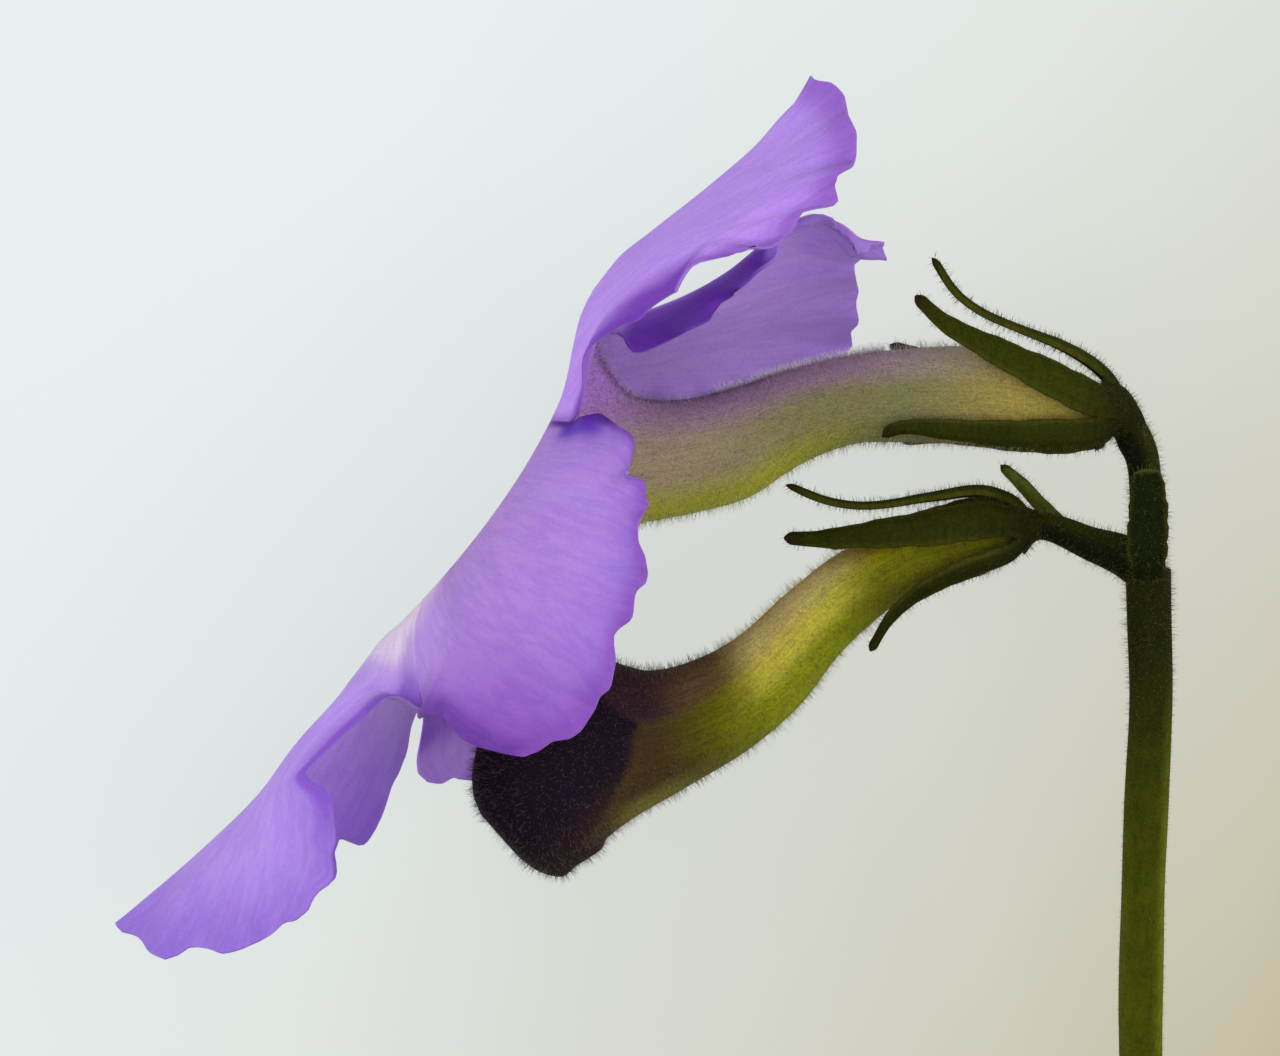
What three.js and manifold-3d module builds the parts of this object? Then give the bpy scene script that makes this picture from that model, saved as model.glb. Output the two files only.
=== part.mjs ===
// Cape primrose: one cut flower stalk with an open bloom and a closed bud, lying on a surface.
// Millimetres. +Z is up. +X runs from the bloom's face towards the stalk, +Y from the cut end to the bloom.
// The shapes are written about the bloom's own mid-plane (z = 0) and lowered onto the surface at the end.
// Pieces that meet keep about 0.3 mm between them.
import * as THREE from 'three';
import { mergeVertices } from 'three/addons/utils/BufferGeometryUtils.js';
import Module from 'manifold-3d';

const wasm = await Module();
wasm.setup();

// ---- Driving dimensions -------------------------------------------------------------------
const FLOOR_Z = -15.4; // the surface, below the bloom's mid-plane
const REST_TRIM = 0.15; // how much is flattened off the stalk where it touches the surface
const PETAL = 0.6; // thickness of the corolla wall
const SEPAL = 0.7; // thickness of a sepal or bract
const STEM_RADIUS = 1.1;
const STEM_Z = FLOOR_Z + STEM_RADIUS - REST_TRIM; // the stalk's axis where it lies on the surface
const STEM_END = [26.4, -61.5]; // where the stalk was cut
const LOBES = 5;
const LOBE_COLUMNS = 16; // steps across one petal lobe
const LOBE_ROWS = 10; // steps from the throat to the margin

// Steps along each kind of piece, and how many sides its section has.
const PEDUNCLE_MESH = { steps: 24, sides: 16 };
const PEDICEL_MESH = { steps: 8, sides: 16 };
const CUP_MESH = { steps: 5, sides: 16 };
const PISTIL_MESH = { steps: 14, sides: 8 };
const FILAMENT_MESH = { steps: 8, sides: 8 };
const BUD_MESH = { steps: 24, sides: 20 };
const ANTHER_MESH = { around: 10, down: 6 };
const SEPAL_STEPS = 9;
const BRACT_STEPS = 8;

// Margin of each lobe: ruffles out of the sheet and scallops in it. Both fade inwards as a power,
// start over the first part of the lobe's length, and are mostly lost where a side meets the end.
const RUFFLE = { height: 0.34, length: 3.6, fade: 6 };
const SCALLOP = { depth: 0.26, length: 2.9, fade: 12 };
const MARGIN_START = 0.35;
const CORNER = { from: 0.7, calm: 0.8 };

// Sepals and bracts: the breadth at the root and where it is full, where the blade starts to narrow,
// how slim and how blunt its tip is, how far its section arches as part of its half breadth, and the
// half thickness of its edges.
const BLADE = { root: 0.75, full: 0.3, narrows: 0.1, slim: 3, blunt: 0.3, arch: 0.18, edge: 0.3 };
const BLADE_COLUMNS = 4; // points across each face of a blade

// Corolla tube, from its seat in the calyx to the mouth and the crest of the limb.
// Each station is an oval ring: its top and bottom in the mid-plane, and its half width across.
const TUBE = [
  { top: [22.4, 7.05], bottom: [22.5, 4.55], wide: 1.25 },
  { top: [20.0, 8.2], bottom: [20.0, 4.4], wide: 1.85 },
  { top: [16.75, 8.9], bottom: [16.5, 4.4], wide: 2.3 },
  { top: [13.25, 8.8], bottom: [13.0, 4.45], wide: 2.25 },
  { top: [10.25, 8.4], bottom: [10.6, 4.35], wide: 2.2 },
  { top: [7.25, 7.65], bottom: [7.9, 3.3], wide: 2.35 },
  { top: [4.75, 6.85], bottom: [5.35, 1.65], wide: 2.6 },
  { top: [2.0, 6.25], bottom: [2.4, 0.85], wide: 2.9 },
  { top: [-0.5, 6.5], bottom: [-0.75, 0.15], wide: 3.4 },
  { top: [-2.0, 8.3], bottom: [-7.0, -3.1], wide: 4.6 },
  { top: [-2.5, 10.5], bottom: [-12.25, -5.2], wide: 8.5, bow: [1.65, 0.15] },
];

// Notches between neighbouring lobes.
const NOTCH = {
  top: [-1.2, 9.8, 0.6],
  near_side: [-3.35, 5.2, 9.0],
  near_low: [-10.8, -9.0, 9.5],
  far_low: [-11.2, -8.9, -9.5],
  far_side: [-3.0, 5.0, -9.0],
};

// Each lobe runs from one notch to the next. Its seat lies between the notches, and five ribs,
// one from each notch and three between, lead out over the lobe to its margin.
const LOBE_SHAPES = [
  { // upper lobe on the near side
    from: 'top',
    to: 'near_side',
    seat: [[-1.6, 11.4, 2.9], [-2.2, 11.2, 5.2], [-3.0, 9.4, 7.4]],
    ribs: [
      [[0.0, 12.2, 1.7], [3.2, 15.5, 1.5], [6.0, 18.8, 2.0], [7.4, 20.9, 3.2]],
      [[0.3, 14.75, 3.6], [3.8, 17.2, 4.2], [6.5, 19.6, 5.0], [8.6, 22.2, 6.0]],
      [[0.6, 14.3, 6.4], [4.2, 16.6, 8.0], [7.4, 18.6, 9.2], [10.4, 20.6, 9.8]],
      [[0.4, 12.9, 9.4], [4.3, 15.1, 11.2], [7.5, 16.9, 12.0], [10.5, 18.2, 12.2]],
      [
        [-2.85, 6.5, 9.3], [-2.75, 8.6, 9.5], [-1.9, 10.2, 10.0], [1.2, 11.3, 11.3],
        [2.6, 13.1, 12.2], [5.6, 13.9, 13.0], [7.8, 15.5, 13.2], [9.7, 16.4, 12.8],
      ],
    ],
  },
  { // side lobe on the near side
    from: 'near_side',
    to: 'near_low',
    seat: [[-4.3, 2.9, 11.2], [-6.0, -0.6, 11.4], [-8.3, -3.8, 10.6]],
    ribs: [
      [[-2.5, 5.65, 9.8], [-1.4, 5.5, 11.0], [-0.3, 4.7, 12.4]],
      [[-2.0, 2.4, 13.8], [0.25, 1.3, 15.3]],
      [[-3.2, -1.8, 14.8], [0.1, -2.7, 17.0]],
      [[-5.4, -6.0, 14.2], [-2.1, -8.3, 16.2]],
      [[-9.6, -9.6, 10.8], [-8.1, -10.8, 12.2], [-5.7, -11.2, 13.6]],
    ],
  },
  { // lower lobe
    from: 'near_low',
    to: 'far_low',
    seat: [[-13.9, -7.3, 5.4], [-14.25, -7.55, 0.2], [-13.7, -7.6, -5.2]],
    ribs: [
      [
        [-11.9, -8.4, 9.4], [-13.7, -8.95, 8.4], [-16.8, -11.8, 7.8], [-15.3, -13.9, 9.6],
        [-15.2, -16.6, 10.4], [-16.5, -18.9, 10.2],
      ],
      [[-17.6, -11.3, 5.2], [-19.2, -15.8, 6.8], [-20.8, -21.1, 8.0]],
      [[-17.3, -11.45, 0.3], [-20.7, -15.15, 0.3], [-25.9, -19.95, 0.6]],
      [[-16.2, -12.2, -5.6], [-18.8, -16.2, -6.6], [-21.5, -20.2, -7.6]],
      [[-11.7, -11.4, -9.8], [-12.8, -13.7, -9.9], [-14.0, -15.8, -10.0], [-16.8, -18.0, -9.8]],
    ],
  },
  { // side lobe on the far side
    from: 'far_low',
    to: 'far_side',
    seat: [[-8.6, -4.4, -10.6], [-6.0, -0.9, -11.4], [-4.3, 2.4, -11.2]],
    ribs: [
      [[-10.95, -10.0, -10.4], [-11.2, -11.7, -11.4], [-10.6, -12.6, -12.0]],
      [[-7.2, -8.4, -13.4], [-7.7, -12.5, -14.4]],
      [[-3.9, -3.6, -13.9], [-2.6, -7.2, -15.1]],
      [[-2.5, 0.9, -13.6], [-0.7, -1.2, -14.5]],
      [[-2.3, 4.9, -10.6], [-0.9, 3.4, -12.4]],
    ],
  },
  { // upper lobe on the far side
    from: 'far_side',
    to: 'top',
    seat: [[-1.6, 7.6, -8.6], [-1.2, 9.6, -5.6], [-0.8, 10.4, -1.4]],
    ribs: [
      [[-1.2, 6.2, -10.5], [1.8, 6.0, -12.8], [6.2, 6.3, -14.9], [9.5, 7.6, -15.3]],
      [[2.4, 8.4, -10.2], [6.4, 9.0, -12.4], [10.7, 9.4, -14.0]],
      [[2.6, 10.6, -5.6], [6.6, 11.8, -6.6], [10.9, 11.9, -8.2]],
      [[1.85, 11.3, -0.6], [4.25, 12.6, -0.6], [6.25, 14.15, -0.8], [8.5, 15.65, -1.7], [11.9, 13.6, -3.8]],
      [
        [0.4, 8.9, 1.8], [2.2, 9.8, 2.1], [3.8, 10.7, 2.0], [5.4, 12.3, 1.6], [7.6, 15.0, 0.6],
        [9.2, 15.6, -0.1], [10.9, 14.9, -0.8],
      ],
    ],
  },
];

// Closed corolla of the bud: oval rings as for the tube, with z as the ring's place across.
const BUD = [
  { top: [18.3, 0.6], bottom: [18.1, -0.85], wide: 0.75, z: -0.4 },
  { top: [15.5, 0.5], bottom: [15.9, -2.2], wide: 1.2, z: -0.7 },
  { top: [12.5, -0.1], bottom: [13.75, -3.2], wide: 1.6, z: -1.2 },
  { top: [9.95, -1.25], bottom: [12.1, -4.35], wide: 1.9, z: -1.7 },
  { top: [7.4, -3.2], bottom: [10.0, -6.3], wide: 2.0, z: -2.2 },
  { top: [5.1, -5.25], bottom: [8.0, -8.85], wide: 2.3, z: -2.7 },
  { top: [3.0, -6.45], bottom: [5.5, -11.0], wide: 2.6, z: -3.1 },
  { top: [0.5, -7.1], bottom: [2.4, -12.9], wide: 3.0, z: -3.5 },
  { top: [-2.5, -7.2], bottom: [-0.4, -14.55], wide: 3.3, z: -3.8 },
  { top: [-5.5, -8.75], bottom: [-2.15, -15.9], wide: 3.5, z: -4.0 },
  { top: [-7.6, -10.3], bottom: [-3.5, -16.8], wide: 3.2, z: -4.0 },
  { top: [-8.3, -12.0], bottom: [-4.3, -17.2], wide: 2.6, z: -4.0 },
  { top: [-8.3, -13.6], bottom: [-5.5, -17.0], wide: 1.8, z: -4.0 },
  { top: [-7.9, -14.6], bottom: [-6.3, -16.25], wide: 0.9, z: -4.0 },
];
// The bud's outermost folded lobe: its middle along (in rings) and around (an angle), its half sizes,
// how far it stands out, and the part of it that slopes up from its edge.
const BUD_FLAP = { along: 10.5, around: 0.3, long: 2.5, wide: 1.0, lift: 0.3, slope: 0.25 };

// Blades: the path of each, with its widest breadth and the way its face looks.
const FLOWER_SEPALS = [
  { path: [[24.0, 6.3, 0], [23.2, 7.6, 0], [21.4, 8.85, 0], [19.25, 9.75, 0], [17.2, 10.65, 0],
    [15.75, 11.75, 0], [14.6, 13.5, 0]], breadth: 1.7, face: [0.3, 1, 0] },
  { path: [[23.9, 6.0, 0.7], [22.8, 6.35, 2.0], [20.0, 7.75, 2.4], [17.9, 8.8, 2.6], [15.3, 10.2, 2.5],
    [13.75, 11.6, 2.1]], breadth: 2.0, face: [0.1, 0.45, 1] },
  { path: [[23.9, 5.5, 0.6], [22.8, 4.85, 2.0], [20.4, 4.7, 2.4], [17.5, 4.75, 2.65], [15.0, 4.95, 2.85],
    [13.5, 5.05, 2.8], [12.6, 4.9, 2.7], [12.1, 4.55, 2.55]], breadth: 1.6, face: [0, -0.45, 1], slim: 2 },
  { path: [[23.9, 5.4, -0.6], [22.8, 4.75, -2.0], [20.7, 4.5, -2.4], [18.0, 4.55, -2.65], [15.4, 4.65, -2.8],
    [13.0, 4.4, -2.6]], breadth: 1.8, face: [0, -0.5, -1] },
  { path: [[23.9, 6.0, -0.7], [22.8, 6.5, -2.0], [20.0, 7.5, -2.45], [17.2, 8.15, -2.9], [14.6, 8.45, -3.1],
    [12.6, 8.75, -2.9]], breadth: 1.8, face: [0, 0.45, -1] },
];
const FLOWER_CUP = {
  path: [[24.6, 4.72, 0], [24.25, 5.3, 0], [23.65, 5.72, 0], [22.95, 5.8, 0]],
  radii: [0.82, 0.98, 1.45, 2.0],
};
const BUD_SEPALS = [
  { path: [[19.3, 0.5, -0.35], [18.5, 1.3, -0.4], [17.0, 1.75, -0.5], [14.5, 1.45, -0.7], [11.5, 1.05, -1.0],
    [9.4, 1.3, -1.3], [7.3, 2.15, -1.5]], breadth: 1.5, face: [0, 1, 0] },
  { path: [[19.2, 0.2, 0.2], [18.4, 0.35, 0.95], [17.0, 0.4, 1.25], [15.0, 0.08, 1.3], [13.0, -0.17, 1.2],
    [11.0, -0.38, 1.05], [9.0, -0.55, 0.8], [7.2, -0.5, 0.5]], breadth: 2.1, face: [0.1, 0.35, 1] },
  { path: [[19.2, -0.5, 0.0], [18.4, -1.25, 0.5], [16.6, -1.95, 0.95], [15.2, -2.55, 0.95],
    [13.7, -3.4, 0.85], [12.5, -4.5, 0.7], [11.5, -6.15, 0.4]], breadth: 1.45, face: [-0.35, -1, 0.75],
  slim: 4.5 },
  { path: [[19.2, -0.2, -0.9], [18.4, -0.9, -1.6], [16.4, -1.8, -2.5], [14.2, -2.4, -3.3], [12.2, -2.8, -4.1],
    [10.3, -2.7, -4.8]], breadth: 1.7, face: [0, -0.5, -1] },
  { path: [[19.2, 0.3, -0.9], [18.4, 0.75, -1.65], [16.4, 0.7, -2.45], [14.2, 0.2, -3.2], [11.8, -0.4, -4.0],
    [9.4, -0.9, -4.6]], breadth: 1.7, face: [0, 0.4, -1] },
];
const BUD_CUP = {
  path: [[20.0, 0.1, -0.2], [19.6, 0.1, -0.25], [19.2, 0.05, -0.35], [18.85, -0.05, -0.4]],
  radii: [0.68, 0.85, 1.1, 1.35],
};
const BRACTS = {
  bract_near: { path: [[25.4, -2.3, 1.75], [25.35, -1.0, 1.75], [25.4, 1.0, 1.7], [25.35, 2.3, 1.65],
    [25.3, 2.95, 1.6]], breadth: 2.05, face: [0, 0, 1], slim: 1, narrows: 0.35, blunt: 0.7 },
  bract_far: { path: [[24.3, -1.95, -1.8], [22.8, -1.25, -1.9], [21.3, -0.05, -2.05], [20.1, 1.1, -2.15],
    [19.1, 2.2, -1.95], [18.05, 3.15, -1.65]], breadth: 1.0, face: [0.5, 0.6, -1], slim: 1, narrows: 0.35 },
};

// Green stalk: the peduncle from the cut end to the node, and one pedicel to each flower.
const PEDUNCLE = {
  path: [[STEM_END[0], STEM_END[1], STEM_Z], [26.4, -59.5, STEM_Z], [26.15, -50.0, -13.1],
    [25.55, -38.0, -10.2], [25.15, -26.4, -6.6], [25.2, -18.6, -4.3], [25.35, -13.6, -2.9],
    [25.55, -8.6, -1.5], [25.45, -4.6, -0.5], [25.4, -2.1, 0]],
  radii: [...Array(8).fill(STEM_RADIUS), 1.1, 1.14],
};
const FLOWER_PEDICEL = {
  path: [[25.35, -2.6, 0], [25.3, -0.5, 0], [25.3, 1.5, 0], [25.2, 3.0, 0], [25.02, 3.8, 0],
    [24.74, 4.4, 0]],
  radii: [1.0, 0.85, 0.8, 0.8, 0.83, 0.85],
};
const BUD_PEDICEL = {
  path: [[25.35, -2.2, 0], [24.2, -1.4, -0.05], [22.45, -0.75, -0.1], [21.2, -0.2, -0.15],
    [20.5, 0.04, -0.18]],
  radii: [1.05, 1.0, 0.82, 0.72, 0.68],
};

// Parts inside the tube.
const PISTIL = {
  path: [[22.45, 5.8, 0], [20.0, 6.3, 0], [16.6, 6.7, 0], [13.0, 6.65, 0], [10.4, 6.3, 0], [7.6, 5.4, 0],
    [4.6, 4.4, 0], [1.6, 3.9, 0], [0.2, 3.9, 0]],
  radii: [0.5, 0.6, 0.6, 0.55, 0.45, 0.4, 0.35, 0.5, 0.3],
};
const FILAMENT = {
  path: [[7.7, 4.5, 0.9], [6.6, 4.0, 1.1], [4.6, 3.4, 1.3], [2.4, 3.15, 1.2], [0.6, 2.85, 0.75],
    [-0.6, 2.5, 0.25]],
  radii: [0.32, 0.3, 0.3, 0.3, 0.32, 0.3],
};
const ANTHERS = { centre: [-0.7, 2.45, 0], size: [0.75, 0.5, 0.95] };

const LOOKS = {
  petal: { color: 0xb08fdf, roughness: 0.6 },
  bud: { color: 0x6a6428, roughness: 0.65 },
  sepal: { color: 0x39401a, roughness: 0.7 },
  bract: { color: 0x3f4a2c, roughness: 0.75 },
  stalk: { color: 0x454a12, roughness: 0.7 },
  pistil: { color: 0xd9dcb8, roughness: 0.5 },
  stamen: { color: 0xf2ecd8, roughness: 0.5 },
};

const MERGE_DISTANCE = 1e-5; // corners nearer than this are one corner
const DIRECTION_STEP = 0.005; // part of a path's length over which its direction is taken
const SHEET_STEP = 0.01; // part of a lobe over which its slopes are taken
const SLAB = { width: 200, depth: 10 }; // what lies below the surface, wider than the whole part

// ---- Curves -------------------------------------------------------------------------------
const vec = (p) => new THREE.Vector3(p[0], p[1], p[2] ?? 0);
const mixed = (a, b, k) => a.clone().lerp(b, k);

// Chord lengths along a run of points: the knots of the curve through them.
function chordKnots(points) {
  const knots = [0];
  for (let i = 1; i < points.length; i += 1) {
    knots.push(knots[i - 1] + points[i].distanceTo(points[i - 1]));
  }
  return knots;
}

// Smooth curve through points at the given knots.
function curveAt(points, knots, x) {
  const last = points.length - 1;
  let i = 0;
  while (i < last - 1 && x >= knots[i + 1]) i += 1;
  const slope = (j) => {
    const a = Math.max(j - 1, 0);
    const b = Math.min(j + 1, last);
    return points[b].clone().sub(points[a]).divideScalar(knots[b] - knots[a]);
  };
  const h = knots[i + 1] - knots[i];
  const u = (x - knots[i]) / h;
  const out = new THREE.Vector3();
  out.addScaledVector(points[i], 2 * u ** 3 - 3 * u ** 2 + 1);
  out.addScaledVector(slope(i), (u ** 3 - 2 * u ** 2 + u) * h);
  out.addScaledVector(points[i + 1], -2 * u ** 3 + 3 * u ** 2);
  out.addScaledVector(slope(i + 1), (u ** 3 - u ** 2) * h);
  return out;
}

const smooth = (low, high, x) => {
  const u = Math.min(Math.max((x - low) / (high - low), 0), 1);
  return u * u * (3 - 2 * u);
};

// ---- Solids -------------------------------------------------------------------------------
function solidGeometry(points, triangles) {
  const geometry = new THREE.BufferGeometry();
  const flat = points.flatMap((p) => [p.x, p.y, p.z]);
  geometry.setAttribute('position', new THREE.Float32BufferAttribute(flat, 3));
  geometry.setIndex(triangles);
  return geometry;
}

// A closed solid through rings of equally many points, with a fan over each end.
function loft(rings) {
  const sides = rings[0].length;
  const points = rings.flat();
  const triangles = [];
  for (let r = 0; r + 1 < rings.length; r += 1) {
    for (let c = 0; c < sides; c += 1) {
      const d = (c + 1) % sides;
      const [a, b, e, f] = [r * sides + c, r * sides + d, (r + 1) * sides + d, (r + 1) * sides + c];
      triangles.push(a, b, e, a, e, f);
    }
  }
  const fan = (ring, start, flip) => {
    const centre = new THREE.Vector3();
    ring.forEach((p) => centre.addScaledVector(p, 1 / sides));
    points.push(centre);
    for (let c = 0; c < sides; c += 1) {
      const d = (c + 1) % sides;
      const pair = flip ? [start + d, start + c] : [start + c, start + d];
      triangles.push(points.length - 1, ...pair);
    }
  };
  fan(rings[0], 0, true);
  fan(rings[rings.length - 1], (rings.length - 1) * sides, false);
  return solidGeometry(points, triangles);
}

// Points and directions at even steps along a path.
function stationsAlong(path, steps) {
  const points = path.map(vec);
  const knots = chordKnots(points);
  const length = knots[knots.length - 1];
  const stations = [];
  for (let i = 0; i <= steps; i += 1) {
    const x = (length * i) / steps;
    const step = length * DIRECTION_STEP;
    const ahead = curveAt(points, knots, Math.min(x + step, length));
    const behind = curveAt(points, knots, Math.max(x - step, 0));
    stations.push({ at: curveAt(points, knots, x), along: ahead.sub(behind).normalize(), part: i / steps });
  }
  return stations;
}

// A round stalk along a path, its radius given at each point of the path.
function stalk({ path, radii }, { steps, sides }) {
  const knots = chordKnots(path.map(vec));
  const sizes = radii.map((r) => new THREE.Vector3(r, 0, 0));
  const length = knots[knots.length - 1];
  const side = new THREE.Vector3(0, 0, 1);
  const rings = stationsAlong(path, steps).map(({ at, along, part }) => {
    const radius = curveAt(sizes, knots, part * length).x;
    const across = side.clone().addScaledVector(along, -side.dot(along)).normalize();
    const up = new THREE.Vector3().crossVectors(along, across);
    return Array.from({ length: sides }, (_, c) => {
      const angle = (2 * Math.PI * c) / sides;
      const point = at.clone().addScaledVector(across, radius * Math.cos(angle));
      return point.addScaledVector(up, radius * Math.sin(angle));
    });
  });
  return loft(rings);
}

// A sepal or bract: a leaf-shaped blade of lens section, arched across towards its face.
function blade(shape, steps) {
  const { path, breadth, face, slim, narrows, blunt } = { ...BLADE, ...shape };
  const rings = stationsAlong(path, steps).map(({ at, along, part }) => {
    const past = Math.max(part - narrows, 0) / (1 - narrows);
    const taper = Math.max(1 - past ** 2, 0) ** (slim / 2);
    const root = BLADE.root + (1 - BLADE.root) * smooth(0, BLADE.full, part);
    const spread = (breadth / 2) * root * (blunt + (1 - blunt) * taper);
    const out = vec(face);
    out.addScaledVector(along, -out.dot(along)).normalize();
    const across = new THREE.Vector3().crossVectors(out, along);
    const ring = [];
    for (const sign of [1, -1]) {
      for (let i = 0; i < BLADE_COLUMNS; i += 1) {
        const u = sign * (1 - (2 * i) / (BLADE_COLUMNS - 1));
        const bulge = BLADE.edge + (SEPAL / 2 - BLADE.edge) * (1 - u * u);
        const arch = BLADE.arch * spread * (1 - u * u);
        ring.push(at.clone().addScaledVector(across, spread * u).addScaledVector(out, arch + sign * bulge));
      }
    }
    return ring;
  });
  return loft(rings);
}

// ---- Joins and cuts -----------------------------------------------------------------------
function toSolid(geometry) {
  const bare = geometry.clone();
  bare.deleteAttribute('normal');
  bare.deleteAttribute('uv');
  const merged = mergeVertices(bare, MERGE_DISTANCE);
  const vertProperties = new Float32Array(merged.attributes.position.array);
  const triVerts = new Uint32Array(merged.index.array);
  return new wasm.Manifold(new wasm.Mesh({ numProp: 3, vertProperties, triVerts }));
}

function toGeometry(solid) {
  const { vertProperties, triVerts } = solid.getMesh();
  const geometry = new THREE.BufferGeometry();
  geometry.setAttribute('position', new THREE.BufferAttribute(new Float32Array(vertProperties), 3));
  geometry.setIndex(Array.from(triVerts));
  return geometry;
}

const joined = (geometries) => toGeometry(geometries.map(toSolid).reduce((a, b) => a.add(b)));

// Flattens whatever reaches below the surface.
function restOnFloor(geometry) {
  const slab = new THREE.BoxGeometry(SLAB.width, SLAB.width, SLAB.depth);
  slab.translate(0, 0, FLOOR_Z - SLAB.depth / 2);
  return toGeometry(toSolid(geometry).subtract(toSolid(slab)));
}

// ---- Corolla ------------------------------------------------------------------------------
// A point of an oval ring: 90 degrees is its top, 0 degrees its near side.
function ringPoint({ top, bottom, wide, bow = [0, 0], z = 0 }, angle) {
  const centre = mixed(vec(top), vec(bottom), 0.5);
  const rise = vec(top).sub(centre);
  const point = centre.addScaledVector(rise, Math.sin(angle));
  point.z += wide * Math.cos(angle) + z;
  return point.addScaledVector(vec(bow), Math.cos(angle) ** 2);
}

// Angle of a lobe's place round a ring, with s from side to side: the first lobe starts at the top.
const lobeAngle = (lobe, s) => THREE.MathUtils.degToRad(90 - (360 / LOBES) * (lobe + s));

// The five ribs of a lobe, each a curve from the crest through the lobe's seat to the margin.
function ribsOf(lobe) {
  const shape = LOBE_SHAPES[lobe];
  const seat = [NOTCH[shape.from], ...shape.seat, NOTCH[shape.to]];
  const crest = TUBE[TUBE.length - 1];
  return shape.ribs.map((rib, i) => {
    const points = [ringPoint(crest, lobeAngle(lobe, i / (LOBES - 1))), vec(seat[i]), ...rib.map(vec)];
    return { points, knots: chordKnots(points) };
  });
}

// The smooth lobe, with s from side to side and t from its seat (0) to its margin (1).
function lobePoint(ribs, s, t) {
  const across = ribs.map(({ points, knots }) => {
    const start = knots[1];
    return curveAt(points, knots, start + t * (knots[knots.length - 1] - start));
  });
  const places = ribs.map((_, i) => i / (ribs.length - 1));
  return curveAt(across, places, s);
}

// Lengths of a lobe's margin: its two sides and its end.
function marginLengths(ribs) {
  const lengthOf = (place) => {
    const points = Array.from({ length: LOBE_COLUMNS + 1 }, (_, i) => place(i / LOBE_COLUMNS));
    return chordKnots(points)[LOBE_COLUMNS];
  };
  return {
    first: lengthOf((u) => lobePoint(ribs, 0, u)),
    last: lengthOf((u) => lobePoint(ribs, 1, u)),
    end: lengthOf((u) => lobePoint(ribs, u, 1)),
  };
}

// Distance along the margin from the middle of the lobe's end to the spot that (a, t) points at.
function marginPlace(lengths, a, t) {
  if (Math.abs(a) <= t) return (a / t) * (lengths.end / 2);
  const side = a < 0 ? lengths.first : lengths.last;
  return Math.sign(a) * (lengths.end / 2 + side * (1 - t / Math.abs(a)));
}

// The ruffled lobe: waves out of the sheet and scallops in it, both growing towards the margin.
function ruffledPoint({ ribs, lengths, lobe }, s, t) {
  const point = lobePoint(ribs, s, t);
  if (t === 0) return point;
  const a = 2 * s - 1;
  const reach = Math.max(Math.abs(a), t);
  const slopeOf = (ds, dt) => {
    const ahead = lobePoint(ribs, Math.min(s + ds, 1), Math.min(t + dt, 1));
    const behind = lobePoint(ribs, Math.max(s - ds, 0), Math.max(t - dt, 0));
    return ahead.sub(behind).normalize();
  };
  const alongS = slopeOf(SHEET_STEP, 0);
  const alongT = slopeOf(0, SHEET_STEP);
  const normal = new THREE.Vector3().crossVectors(alongS, alongT).normalize();
  const outward = alongS.multiplyScalar(a).addScaledVector(alongT, t).normalize();
  const turn = 2 * Math.PI * marginPlace(lengths, a, t);
  const corner = smooth(CORNER.from, 1, Math.min(Math.abs(a), t));
  const rise = smooth(0, MARGIN_START, t) * (1 - CORNER.calm * corner);
  const wave = Math.sin(turn / RUFFLE.length + lobe);
  const scallop = Math.cos(turn / SCALLOP.length + 2 * lobe);
  point.addScaledVector(normal, RUFFLE.height * rise * reach ** RUFFLE.fade * wave);
  return point.addScaledVector(outward, SCALLOP.depth * rise * reach ** SCALLOP.fade * scallop);
}

// A lobe's points, row by row from its seat to its margin.
function lobeGrid(lobe) {
  const ribs = ribsOf(lobe);
  const shape = { ribs, lengths: marginLengths(ribs), lobe };
  return Array.from({ length: LOBE_ROWS + 1 }, (_, r) => (
    Array.from({ length: LOBE_COLUMNS + 1 }, (__, c) => (
      ruffledPoint(shape, c / LOBE_COLUMNS, r / LOBE_ROWS)
    ))
  ));
}

// The corolla as one sheet of four-sided faces: the rings of the tube, then the five lobes.
function corollaSheet() {
  const columns = LOBES * LOBE_COLUMNS;
  const lobes = LOBE_SHAPES.map((_, lobe) => lobeGrid(lobe));
  const points = [];
  const quads = [];
  for (const station of TUBE) {
    for (let c = 0; c < columns; c += 1) {
      points.push(ringPoint(station, lobeAngle(0, c / LOBE_COLUMNS)));
    }
  }
  lobes.forEach((grid) => points.push(...grid[0].slice(0, LOBE_COLUMNS)));
  for (let r = 0; r < TUBE.length; r += 1) {
    for (let c = 0; c < columns; c += 1) {
      const d = (c + 1) % columns;
      quads.push([r * columns + c, r * columns + d, (r + 1) * columns + d, (r + 1) * columns + c]);
    }
  }
  const seatStart = TUBE.length * columns;
  lobes.forEach((grid, lobe) => {
    const ids = grid.map((row, r) => row.map((point, c) => {
      if (r === 0) return seatStart + ((lobe * LOBE_COLUMNS + c) % columns);
      points.push(point);
      return points.length - 1;
    }));
    for (let r = 0; r < LOBE_ROWS; r += 1) {
      for (let c = 0; c < LOBE_COLUMNS; c += 1) {
        quads.push([ids[r][c], ids[r][c + 1], ids[r + 1][c + 1], ids[r + 1][c]]);
      }
    }
  });
  return { points, quads };
}

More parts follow.
